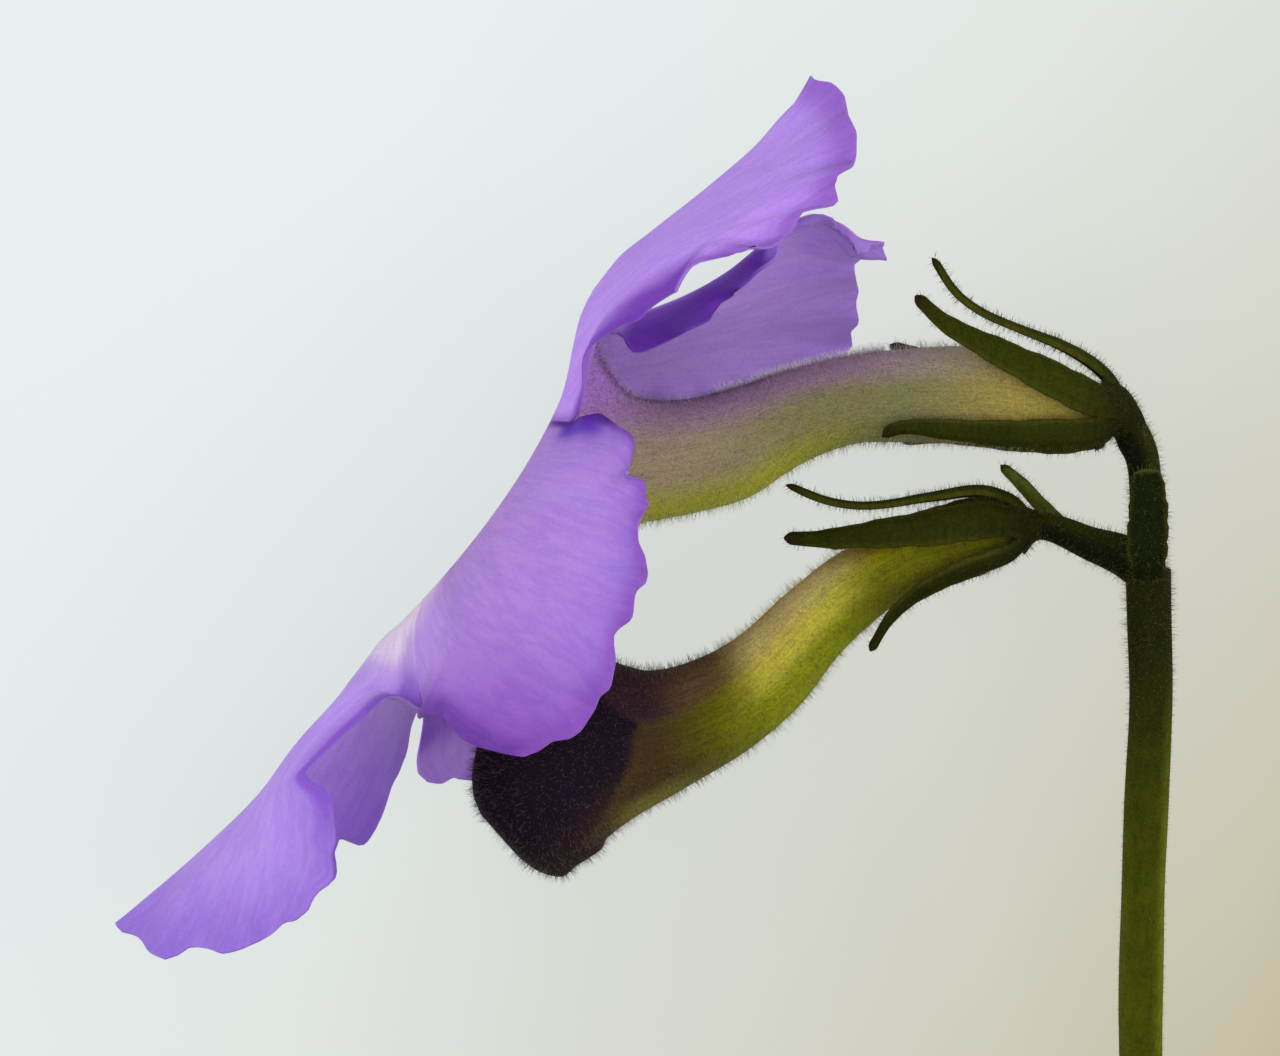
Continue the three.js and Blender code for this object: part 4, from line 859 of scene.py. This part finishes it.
def back_tint(facts):
    """Colour of the corolla's back: tube and lobes, with painted shade where lobes roll or lie under others
    and in the crease along the tube's top. A fourth number says where it is the tube.
    """
    facts = {**facts, "up": np.sin(facts["turn"])}
    petal = paint(
        BACK, facts,
        layer(BACK_LOWER, 1, LOWER),
        layer(LILAC_DEEP, 0.3 * smooth(0.6, 1, facts["reach"]) + 0.4 * (facts["lobe"] == LOWER)),
        # Painted shade on the far upper lobe's roll.
        layer(VIOLET_ROLL_SHADE, 0.8, UPPER_FAR, s=(0.78, 0.86), t=(0.1, 0.25, 0.54, 0.64)),
        # Painted shade on the near upper lobe's rolled column.
        layer(VIOLET_ROLL_SHADE, 0.6, UPPER_NEAR, s=(0.86, 0.97), t=(0.45, 0.3)),
        # Painted shade on the far side lobe where it lies under the near one.
        layer(VIOLET_ROLL_SHADE, 0.8, SIDE_FAR, s=(0.4, 0.12), t=(0.8, 0.4)),
    )
    top = paint(
        TUBE_TOP_BASE, facts,
        layer(TUBE_TOP, 1, along=(1.5, 4.5)),
        layer(TUBE_MOUTH, 1, along=(7.5, 9)),
    )
    outer = paint(
        TUBE_SIDE, facts,
        layer(TUBE_FRONT, 1, along=(4.5, 7.5)),
        layer(top, 1, up=(0.1, 0.85)),
        layer(TUBE_LOW, 1, up=(-0.25, -0.95), along=(2.5, 5.5)),
        layer(TUBE_BASE, 1, along=(3.0, 0.8)),
        layer(TUBE_MOUTH, 0.8, up=(-0.2, 0.9), along=(7.5, 9.6)),
        # Painted shade, with a deeper violet of its own, in the crease along the tube's top.
        layer(TUBE_CREASE_SHADE, 0.8, up=(0.9, 0.99), along=(4.8, 5.6, 8.9, 9.6)),
    )
    limb = smooth(9.6, 11.6, facts["along"])
    return np.concatenate([blend(outer, petal, limb), 1 - limb[:, None]], 1)


def bud_tint(x, up, fold):
    """Colour of the bud: olive at its root, with a painted glow in the middle and a painted highlight along
    its top, darker towards its end partly by painted shade, and dark at its folded lobes.
    """
    facts = {"x": x, "up": up, "low": x + 0.3 * np.minimum(up, 0), "high": x + 0.45 * up}
    dusk = smooth(0.12, 0.42, up + 0.12 * (x - 6))
    return paint(
        BUD_LOWER, facts,
        layer(BUD_UPPER, 1, up=(-0.1, 0.6)),
        layer(BUD_SHADE, 0.75, x=(4.0, 2.6), up=(0.4, -0.1)),
        # Painted light: a glow through the middle of the bud.
        layer(BUD_PAINTED_GLOW, 0.95, x=(2.4, 4.2, 5.0, 6.2), up=(-0.55, 0.05)),
        # Painted highlight: a tan tone brightened along the bud's top.
        layer(BUD_TAN_HIGHLIGHT, 1, x=(2.3, 3.9, 5.0, 6.2), up=(0.1, 0.8)),
        layer(BUD_SHADE, 1, low=(4.9, 6.6)),
        # Darker towards the folded end: partly the bud's own colour, partly painted shade.
        layer(BUD_DUSK, dusk, x=(4.7, 6.4)),
        layer(BUD_NIGHT, dusk, x=(6.3, 7.3)),
        layer(BUD_BROWN, 1 - dusk, x=(6.1, 7.4)),
        layer(BUD_DARK, 1, high=(7.8, 9.4)),
        layer(BUD_LOBE, fold * (1 - 0.5 * smooth(-0.3, -0.8, up))),
        layer(BUD_EDGE, 0.9, up=(-0.72, -0.95), x=(6.2, 7.4, 7.7, 8.8)),
    )


# ---- Materials ----------------------------------------------------------------------------
class Shader:
    """A material's node tree, built by short calls."""

    def __init__(self, name):
        self.material = bpy.data.materials.new(name)
        self.material.use_nodes = True
        self.tree = self.material.node_tree
        self.tree.nodes.clear()

    @cached_property
    def tint(self):
        return self.add("ShaderNodeAttribute", attribute_name="tint").outputs

    @cached_property
    def place(self):
        return self.add("ShaderNodeTexCoord").outputs["Object"]

    @cached_property
    def uv(self):
        return self.add("ShaderNodeUVMap", uv_map="veins").outputs[0]

    def add(self, kind, inputs=None, **settings):
        made = self.tree.nodes.new(kind)
        for key, value in settings.items():
            setattr(made, key, value)
        for key, value in (inputs or {}).items():
            socket = made.inputs[key]
            if isinstance(value, bpy.types.NodeSocket):
                self.tree.links.new(value, socket)
            else:
                socket.default_value = value
        return made

    def math(self, operation, *values, clamp=False):
        made = self.add("ShaderNodeMath", dict(enumerate(values)), operation=operation, use_clamp=clamp)
        return made.outputs[0]

    def mix(self, factor, a, b, kind="MIX"):
        inputs = {0: factor, 6: a, 7: b}
        return self.add("ShaderNodeMix", inputs, data_type="RGBA", blend_type=kind).outputs[2]

    def ramp(self, factor, *stops):
        """A colour ramp of (place, grey) stops, as a number."""
        made = self.add("ShaderNodeValToRGB", {0: factor})
        elements = made.color_ramp.elements
        while len(elements) < len(stops):
            elements.new(0.5)
        for element, (place, grey) in zip(elements, stops):
            element.position = place
            element.color = (grey, grey, grey, 1)
        return made.outputs[0]

    def noise(self, scale, detail=3.0, rough=0.6, distortion=0.0, stretch=None, on=None):
        """Noise over the piece, or over on, which stretch may draw out."""
        vector = self.place if on is None else on
        if stretch:
            vector = self.add("ShaderNodeMapping", {"Vector": vector, "Scale": stretch}).outputs[0]
        inputs = {"Vector": vector, "Scale": scale, "Detail": detail, "Roughness": rough,
                  "Distortion": distortion}
        return self.add("ShaderNodeTexNoise", inputs).outputs[0]

    def layers(self, colour, *rows):
        """The colour under (pattern, low, high, share, by): where the pattern rises from low to high it is
        darkened, up to the share, towards its product with by. A share may be another pattern."""
        for pattern, low, high, share, by in rows:
            if isinstance(share, bpy.types.NodeSocket):
                factor = self.math("MULTIPLY", self.ramp(pattern, (low, 0.0), (high, 1.0)), share)
            else:
                factor = self.ramp(pattern, (low, 0.0), (high, share))
            colour = self.mix(factor, colour, (*by, 1), "MULTIPLY")
        return colour

    def relief(self, distance, first, second=None, share=0.5):
        """Bump from one pattern, or from two with the first one's share."""
        if second is not None:
            parts = self.math("MULTIPLY", first, share), self.math("MULTIPLY", second, 1 - share)
            first = self.math("ADD", *parts)
        return self.add("ShaderNodeBump", {"Height": first, "Distance": distance, "Strength": 1.0}).outputs[0]

    def finish(self, colour, share, rough, normal=None, through=None, sheen=0.0, specular=0.3,
               subsurface=0.0):
        """Principled, with a share of light let through in the colour through."""
        bent = {} if normal is None else {"Normal": normal}
        through = colour if through is None else through
        inputs = {"Base Color": colour, "Roughness": rough, "Sheen Weight": sheen, "Sheen Roughness": 0.5,
                  "Specular IOR Level": specular, **bent}
        if subsurface:
            inputs.update({"Subsurface Weight": subsurface, "Subsurface Radius": (0.9, 1.0, 0.3),
                           "Subsurface Scale": 0.0006})
        surface = self.add("ShaderNodeBsdfPrincipled", inputs).outputs[0]
        glow = self.add("ShaderNodeBsdfTranslucent", {"Color": through, **bent}).outputs[0]
        surface = self.add("ShaderNodeMixShader", {0: share, 1: surface, 2: glow}).outputs[0]
        self.add("ShaderNodeOutputMaterial", {"Surface": surface})
        return self.material


def petal_material():
    """Lilac petal: veins run with the sheet out of the throat, over faint blotches and fine papillae. The
    tint's alpha says where the sheet is the tube, which is mottled more coarsely."""
    sh = Shader("lilac_petal")
    tube = sh.tint["Alpha"]
    veins = sh.noise(1.0, 4.0, 0.6, 0.35, (26, 0.22, 1), sh.uv)
    fine = sh.noise(1.0, 3.0, 0.6, 0.4, (74, 0.8, 1), sh.uv)
    blotch, grain = sh.noise(420), sh.noise(5200, 2.0, 0.7)
    speckle, patch = sh.noise(9500, 2.0, 0.8), sh.noise(2300, 3.0, 0.7)
    lines = sh.math("MULTIPLY", sh.ramp(veins, (0.36, 0.0), (0.46, 1.0), (0.56, 0.0)), 0.3)
    colour = sh.layers(
        sh.mix(lines, sh.tint["Color"], (0.64, 0.52, 0.86, 1), "MULTIPLY"),
        (fine, 0.3, 0.75, 0.3, (0.74, 0.62, 0.9)),
        (blotch, 0.3, 0.75, 0.5, (1.0, 0.86, 0.97)),
        (grain, 0.35, 0.7, 0.45, (0.8, 0.76, 0.94)),
        (speckle, 0.44, 0.58, tube, (0.74, 0.66, 0.78)),
        (patch, 0.4, 0.62, tube, (0.86, 0.95, 0.82)),
    )
    through = sh.add("ShaderNodeGamma", {"Color": colour, "Gamma": 0.5}).outputs[0]
    normal = sh.relief(0.00012, veins, grain, 0.6)
    return sh.finish(colour, 0.45, 0.62, normal, through, sheen=0.1, specular=0.15)


def bud_material():
    sh = Shader("olive_bud")
    streak = sh.noise(1.0, 4.0, 0.6, 0.4, (30, 0.35, 1), sh.uv)
    grain = sh.noise(8000, 2.0, 0.8)
    colour = sh.layers(
        sh.tint["Color"],
        (streak, 0.35, 0.7, 0.6, (0.62, 0.5, 0.7)),
        (sh.noise(1500, 3.0, 0.65), 0.38, 0.64, 0.8, (0.84, 0.8, 0.94)),
        (grain, 0.42, 0.6, 0.8, (0.72, 0.68, 0.62)),
    )
    return sh.finish(colour, 0.22, 0.6, sh.relief(0.00012, streak, grain), specular=0.04)


def green_material(name, share=0.12, subsurface=0.0):
    """Leafy green: tinted along the piece, with short streaks and fine mottling."""
    sh = Shader(name)
    streak = sh.noise(1500, stretch=(3, 0.35, 3))
    grain = sh.noise(6000, 2.0, 0.7)
    colour = sh.layers(
        sh.tint["Color"],
        (sh.noise(900, 4.0), 0.35, 0.72, 0.8, (0.62, 0.74, 0.5)),
        (streak, 0.4, 0.75, 0.7, (0.6, 0.55, 0.6)),
        (grain, 0.42, 0.6, 0.6, (0.66, 0.7, 0.6)),
    )
    normal = sh.relief(0.0001, streak, grain)
    return sh.finish(colour, share, 0.62, normal, specular=0.03, subsurface=subsurface)


def pale_material(name, colour, deep, share, rough):
    """Style, filaments and pollen: pale tissue with faint mottling."""
    sh = Shader(name)
    mixed = sh.mix(sh.ramp(sh.noise(1800, 4.0), (0.35, 0.0), (0.72, 0.8)), (*colour, 1), (*deep, 1))
    return sh.finish(mixed, share, rough, sh.relief(0.00008, sh.noise(7000, 2.0, 0.7)), sheen=0.1)


def hair_material(name, share):
    sh = Shader(name)
    colour = sh.layers(sh.tint["Color"], (sh.noise(2500, 2.0), 0.35, 0.7, 0.6, (0.8, 0.76, 0.7)))
    return sh.finish(colour, share, 0.4, specular=0.2)


# ---- Corolla, bud, calyces, bracts, stalk -------------------------------------------------
def build_corolla(material):
    """The corolla with its wall; the sheet's own side is its face. Returns its back for the hairs."""
    points, quads, uv, facts = corolla_sheet()
    normals = sheet_normals(points, quads)
    wall = np.where(facts["along"] < 9, TUBE_WALL, PETAL)
    wall = wall + (MARGIN_WALL - wall) * smooth(0.86, 1.0, facts["reach"])
    half = normals * (wall / 2)[:, None]
    count, edges = len(points), free_edges(quads)
    wall_quads = np.stack([edges[:, 1], edges[:, 0], edges[:, 0] + count, edges[:, 1] + count], 1)
    back = back_tint(facts)
    face = np.concatenate([face_tint(facts), np.zeros((count, 1))], 1)
    uv = np.concatenate([uv, uv[:, ::-1], np.zeros((len(wall_quads), 4, 2))])
    add_mesh("corolla_petals", np.concatenate([points + half, points - half]),
             [quads, quads[:, ::-1] + count, wall_quads], material,
             tint=np.concatenate([face, back]), uv=uv.reshape(-1, 2), node="corolla", sharp=70)
    return points - half, quads[:, ::-1], back[:, :3], facts


def build_bud(material):
    rings, fold, x, angles = bud_rings()
    points, quads, fans = loft(rings)
    every = np.ones_like(fold)
    tint = with_ends(bud_tint(x * every, np.sin(angles) * every, fold))
    rows, sides = fold.shape
    uv = uv_cells(np.arange(sides + 1) / sides * 5, np.arange(rows)[:, None] * 0.25 * np.ones(sides + 1))
    uv = np.concatenate([uv.reshape(-1, 2), np.zeros((len(fans) * 3, 2))])
    add_mesh("bud_folded_lobes", points, [quads, fans], material, tint=tint, uv=uv,
             node="bud_corolla", sharp=75)
    return points, [quads], tint


def blade_part(shape, seed, green, dark, tip, tip_from=0.86):
    """A blade's arrays: darker at the root, its own colour at the tip, and a little lighter at the edges as
    painted edge light.
    """
    shape = {**BLADE, **shape}
    rings = blade_rings(shape, 64, seed)
    rows, sides = rings.shape[:2]
    part = np.linspace(0, 1, rows)[:, None] * np.ones((1, sides))
    across = np.abs(np.linspace(-1, 1, sides // 2))
    tint = paint(
        # The blade's green darkened by its painted shade.
        blend(green, dark, shape["deep"]), {"part": part, "across": np.tile(across, (rows, 2))},
        layer(SEPAL_EDGE_LIGHT, 0.4, across=(0.75, 1.0)),
        layer(dark, 0.7, part=(0.3, 0.0)),
        layer(tip, 0.75, part=(tip_from, 1.0)),
    )
    return *loft(rings), with_ends(tint)


def round_part(shape, steps, sides, tint_of, swell=None):
    rings = stalk_rings(shape, steps, sides, swell)
    part = np.linspace(0, 1, steps + 1)[:, None] * np.ones((1, sides))
    angle = 2 * np.pi * np.arange(sides) / sides * np.ones_like(part)
    return *loft(rings), with_ends(tint_of(part, angle))


def add_merged(name, parts, material, node):
    """Several shells as one piece in place of a node; returns its surface for the hairs."""
    points, faces, tint = merge(parts)
    add_mesh(name, points, faces, material, tint=tint, node=node, sharp=70)
    return points, faces, tint


def calyx(name, cup, sepals, node, material, seed):
    parts = [round_part(cup, 24, 32, lambda part, angle: blend(SEPAL_DARK, SEPAL_GREEN, 0.5 * part))]
    parts += [blade_part(s, seed + i, SEPAL_GREEN, SEPAL_DARK, SEPAL_TIP) for i, s in enumerate(sepals)]
    return add_merged(name, parts, material, node)


def build_stalk(material):
    def ribs(part, angle):
        return 0.022 * np.cos(7 * angle + 2.0 * np.sin(9 * part)) + 0.02 * np.sin(41 * part)

    def stem_tint(part, angle):
        # Painted rim light: the stem lighter down its +X side and a little on its -X side.
        light = 0.75 * smooth(0.45, 0.98, np.sin(angle)) + 0.2 * smooth(0.3, 1, -np.sin(angle))
        return paint(
            STALK_GREEN, {"part": part},
            layer(STALK_PAINTED_RIM_LIGHT, light, part=(0.95, 0.86)),
            layer(STALK_DARK, 0.85, part=(0.7, 0.97)),
        )

    def pedicel_tint(part, angle):
        # Painted rim light: the pedicels lighter towards their +X side.
        return blend(STALK_DARK, STALK_GREEN, 0.35 * smooth(-0.2, 0.9, np.sin(angle)))

    parts = [round_part(PEDUNCLE, 260, 48, stem_tint, ribs)]
    parts += [round_part(pedicel, 48, 32, pedicel_tint) for pedicel in (FLOWER_PEDICEL, BUD_PEDICEL)]
    return add_merged("stalk_hairy", parts, material, "flower_stalk")


def build_cut(material):
    """The cut end: a ring of skin round paler pith, a little domed, over the end of the stalk."""
    sides, bundles, rough = 48, 0.72, 0.012
    proud, dome, ring = 0.03, 0.05, 0.03
    angle = 2 * np.pi * np.arange(sides) / sides
    r = np.linspace(1, 0.04, 14)[:, None]
    radius = r * (1 + rough * np.cos(7 * angle))
    rise = -proud - dome * (1 - r**2) - ring * hump(r, bundles, 0.08) + rough * np.sin(9 * angle + 14 * r) * r
    rings = np.stack([radius * np.sin(angle), rise, radius * np.cos(angle)], -1) + [*STEM_END, STEM_Z]
    vessels = hump(r, bundles, 0.06) * (0.5 + 0.5 * np.cos(12 * angle)) ** 2
    tint = paint(
        PITH, {"r": r * np.ones(sides)},
        layer(STALK_GREEN, 1, r=(0.84, 0.97)),
        layer(STALK_DARK, 0.6 * vessels),
    )
    back = rings[:1] + np.array([0, 0.3, 0])
    points, quads, fans = loft(np.concatenate([back, rings]))
    add_mesh("stalk_cut_end", points, [quads, fans], material,
             tint=with_ends(np.concatenate([tint[:1], tint])), sharp=70)


def ellipsoid(centre, size, dimple, rows=20, sides=28):
    phi = np.linspace(0.02, math.pi - 0.02, rows)[:, None]
    theta = 2 * np.pi * np.arange(sides)[None] / sides
    r = 1 - dimple * hump(np.sin(theta), 0, 0.3) * (np.cos(theta) > 0) * np.sin(phi)
    rings = np.stack([np.cos(phi) * np.ones_like(theta), np.sin(phi) * np.sin(theta) * r,
                      np.sin(phi) * np.cos(theta) * r], -1)
    points, quads, fans = loft(rings * np.array(size) + np.array(centre))
    return points, quads, fans, np.ones((len(points), 3))


def both_sides(look):
    """Rounded bodies, or the two halves of each, mirrored over the mid-plane."""
    x, y, z = look["centre"]
    places = [(x, y + dy, side * z) for side in (1, -1) for dy in look["halves"]]
    return [ellipsoid(place, look["size"], look["dimple"]) for place in places]


def build_inside(style, filament, pollen):
    def white(part, angle):
        return np.ones((*part.shape, 3))

    mirrored = {**FILAMENT, "path": [(x, y, -z) for x, y, z in FILAMENT["path"]]}
    filaments = [round_part(f, 60, 16, white) for f in (FILAMENT, mirrored)]
    pistil = [round_part(PISTIL, 120, 24, white), *both_sides(STIGMA)]
    for name, parts, material, slot, node in (
        ("pistil_style", pistil, style, "pistil_pale", "pistil"),
        ("stamen_filaments", filaments, filament, "stamen_cream", "stamens"),
        ("stamen_anthers", both_sides(ANTHER), pollen, "stamen_cream", "stamens"),
    ):
        points, faces, _ = merge(parts)
        add_mesh(name, points, faces, material, node=node)


# ---- Hairs --------------------------------------------------------------------------------
rng = np.random.default_rng(11)


def scatter(surface, per_mm2):
    """Seeded places on a surface (points, faces, tint), with their normals and the surface's colour there."""
    points, faces, tint = surface
    tris = []
    for part in faces:
        tris.append(part[:, :3])
        if part.shape[1] == 4:
            tris.append(part[:, [0, 2, 3]])
    tris = np.concatenate(tris)
    a, b, c = points[tris[:, 0]], points[tris[:, 1]], points[tris[:, 2]]
    cross = np.cross(b - a, c - a)
    area = np.linalg.norm(cross, axis=1) / 2
    total = int(area.sum() * per_mm2)
    pick = np.searchsorted(np.cumsum(area), rng.random(total) * area.sum())
    u, v = rng.random(total), rng.random(total)
    over = u + v > 1
    u[over], v[over] = 1 - u[over], 1 - v[over]
    place = a[pick] + u[:, None] * (b - a)[pick] + v[:, None] * (c - a)[pick]
    return place, unit(cross[pick]), tint[tris[pick, 0]]


def add_hairs(name, surface, look, materials):
    """Closed three-sided hairs, each bent once, sunk a little in its skin and paler towards its tip."""
    look = {**HAIR, **look}
    places, normals, under = scatter(surface, look["per_mm2"])
    n, radius, lean = len(places), look["radius"], np.array(look["lean"])
    direction = unit(normals + look["spread"] * rng.normal(size=(n, 3)) + lean)
    bend = unit(direction + look["curl"] * rng.normal(size=(n, 3)) + look["follow"] * lean)
    short, long = look["lengths"]
    length = short + (long - short) * rng.random((n, 1)) ** 1.5
    length *= 1 - look["shorter_below"] * (1 - smooth(*look["from_y"], places[:, 1:2]))
    side = unit(np.cross(direction, rng.normal(size=(n, 3))))
    other = np.cross(direction, side)
    root = places - normals * look["sunk"]
    middle = root + direction * length * look["lower"]
    tip = middle + bend * length * look["upper"]
    vertices = []
    for centre, r in ((root, radius), (middle, radius * look["taper"])):
        for k in range(3):
            angle = 2 * math.pi * k / 3
            vertices.append(centre + r * (math.cos(angle) * side + math.sin(angle) * other))
    vertices.append(tip)
    high = tip[:, 2] > FLOOR_Z + look["clear"]
    points = np.stack(vertices, 1)[high].reshape(-1, 3)
    count = int(high.sum())
    base = len(vertices) * np.arange(count)[:, None]
    wall = np.concatenate([base + [k, (k + 1) % 3, 3 + (k + 1) % 3, 3 + k] for k in range(3)])
    ends = np.concatenate([base + [3 + k, 3 + (k + 1) % 3, 6] for k in range(3)] + [base + [2, 1, 0]])
    shade = 0.75 + 0.5 * rng.random((count, 1))
    at_root, at_middle = look["paling"]
    own = look["own"] * np.array([[at_root] * 3 + [at_middle] * 3 + [1.0]])
    tint = blend(under[high][:, None], linear(*look["colour"]), own) * shade[:, None]
    add_mesh(name, points, [wall, ends], materials[look["skin"]],
             tint=np.clip(tint, 0, 1).reshape(-1, 3))


def grow_hairs(corolla, others, materials):
    """Hairs of each green or tubular piece. others lists name, kind of hair and surface."""
    points, quads, tint, facts = corolla
    along, t, turn = facts["along"][quads], facts["t"][quads], facts["turn"][quads]
    crown = (np.sin(turn) > 0.7) & (np.cos(turn) < 0.1) & (along > 3.2) & (along < 6.4)
    patches = {"tube": (along < 10.6) & (along > 0.6), "tube_top": crown, "limb": (t < 0.45) & (along > 10.4)}
    for name, mask in patches.items():
        add_hairs("hairs_of_" + name, (points, [quads[mask.all(1)]], tint), HAIRS[name], materials)
    for name, kind, surface in others:
        add_hairs("hairs_of_" + name, surface, HAIRS[kind], materials)


# ---- Floor, lights, camera ----------------------------------------------------------------
def floor_material():
    """Pale surface with painted light: cool and bright at the upper left, warmer and darker towards the lower
    right, with a faint glow.
    """
    sh = Shader("pale_floor")
    split = sh.add("ShaderNodeSeparateXYZ", {0: sh.place}).outputs
    down = sh.math("MULTIPLY", split[1], FLOOR["down"])
    slope = sh.math("SUBTRACT", sh.math("MULTIPLY", split[0], FLOOR["across"]), down)
    slope = sh.math("POWER", sh.math("ADD", slope, FLOOR["middle"], clamp=True), FLOOR["bend"])
    wash = sh.math("MULTIPLY", sh.math("SUBTRACT", sh.noise(3.0, 2.0, 0.5), 0.5), FLOOR["wash"])
    slope = sh.math("ADD", slope, wash, clamp=True)
    away = sh.add("ShaderNodeVectorMath", {0: sh.place}, operation="LENGTH").outputs["Value"]
    away = sh.math("SUBTRACT", away, FLOOR["plain_from"])
    away = sh.math("MULTIPLY", away, FLOOR["plain_rate"], clamp=True)
    cool, warm, plain = ((*linear(*FLOOR_COLOURS[key]), 1) for key in ("cool", "warm", "plain"))
    colour = sh.mix(away, sh.mix(slope, cool, warm), plain)
    shaded = sh.mix(FLOOR["shade"], colour, (0, 0, 0, 1))
    surface = sh.add("ShaderNodeBsdfDiffuse", {"Color": shaded}).outputs[0]
    glow = sh.add("ShaderNodeEmission", {"Color": colour, "Strength": FLOOR["glow"]}).outputs[0]
    both = sh.add("ShaderNodeAddShader", {0: surface, 1: glow}).outputs[0]
    sh.add("ShaderNodeOutputMaterial", {"Surface": both})
    return sh.material


def build_floor():
    steps = 24
    edge = np.linspace(-FLOOR_SIZE, FLOOR_SIZE, steps + 1)
    xs, ys = np.meshgrid(edge, edge)
    mesh = bpy.data.meshes.new("floor")
    points = np.stack([xs, ys, np.zeros_like(xs)], -1).reshape(-1, 3)
    faces = cells(np.arange((steps + 1) ** 2).reshape(steps + 1, steps + 1))
    mesh.from_pydata(points.tolist(), [], faces.tolist())
    mesh.materials.append(floor_material())
    add_object("floor", mesh)


def build_lights():
    for name, look in LIGHTS.items():
        data = bpy.data.lights.new(name, "AREA")
        data.shape, data.size, data.energy, data.color = "SQUARE", look["size"], look["power"], look["colour"]
        light = add_object(name, data)
        light.location = look["place"]
        light.rotation_euler = (Vector(LIT_SPOT) - Vector(look["place"])).to_track_quat("-Z", "Y").to_euler()
    world = bpy.data.worlds.new("studio")
    world.use_nodes = True
    background = world.node_tree.nodes["Background"].inputs
    background[0].default_value, background[1].default_value = WORLD_COLOUR, WORLD_STRENGTH
    bpy.context.scene.world = world
    bpy.context.scene.view_settings.view_transform = "Standard"
    bpy.context.scene.view_settings.look = "None"


def build_camera():
    camera = add_object("camera", bpy.data.cameras.new("camera"))
    camera.data.lens, camera.data.sensor_width = LENS, SENSOR
    camera.data.clip_start, camera.data.clip_end = 0.1, 20
    at = SHIFT + np.array([0, 0, VIEW_WIDTH * LENS / SENSOR])
    camera.matrix_world = Matrix.Translation(Vector(at * MM))
    bpy.context.scene.camera = camera


# ---- Assembly -----------------------------------------------------------------------------
sepal_skin = green_material("sepal_green_skin")
bract_skin = green_material("bract_green_skin", share=0.2)
stalk_skin = green_material("stalk_green_skin", share=0.1, subsurface=0.25)
hair_skins = {"pale": hair_material("pale_hair", 0.65), "white": hair_material("white_hair", 0.1)}

corolla = build_corolla(petal_material())
bud = build_bud(bud_material())
flower_calyx = calyx("calyx_of_flower_sepals", FLOWER_CUP, FLOWER_SEPALS, "calyx_of_flower", sepal_skin, 1)
bud_calyx = calyx("calyx_of_bud_sepals", BUD_CUP, BUD_SEPALS, "calyx_of_bud", sepal_skin, 7)
bracts = {}
for node, seed, green, tip in (
    # The near bract's tip colour is a painted highlight.
    ("bract_near", 13, BRACT_NEAR, BRACT_TIP_HIGHLIGHT),
    ("bract_far", 14, BRACT_FAR, SEPAL_DARK),
):
    leaf = blade_part(BRACTS[node], seed, green, STALK_DARK, tip, 0.93)
    bracts[node] = add_merged(node + "_leaf", [leaf], bract_skin, node)
stalk = build_stalk(stalk_skin)
build_cut(stalk_skin)
build_inside(
    pale_material("pale_style", (0.72, 0.74, 0.5), (0.6, 0.5, 0.62), 0.3, 0.45),
    pale_material("pale_filament", (0.84, 0.82, 0.72), (0.7, 0.6, 0.75), 0.4, 0.4),
    pale_material("cream_pollen", (0.86, 0.82, 0.62), (0.74, 0.66, 0.4), 0.15, 0.75),
)
grow_hairs(corolla, [
    ("bud", "bud", bud),
    ("flower_calyx", "calyx", flower_calyx),
    ("bud_calyx", "calyx", bud_calyx),
    ("bract_near", "bract", bracts["bract_near"]),
    ("bract_far", "bract", bracts["bract_far"]),
    ("stalk", "stalk", stalk),
], hair_skins)
build_floor()
build_lights()
build_camera()
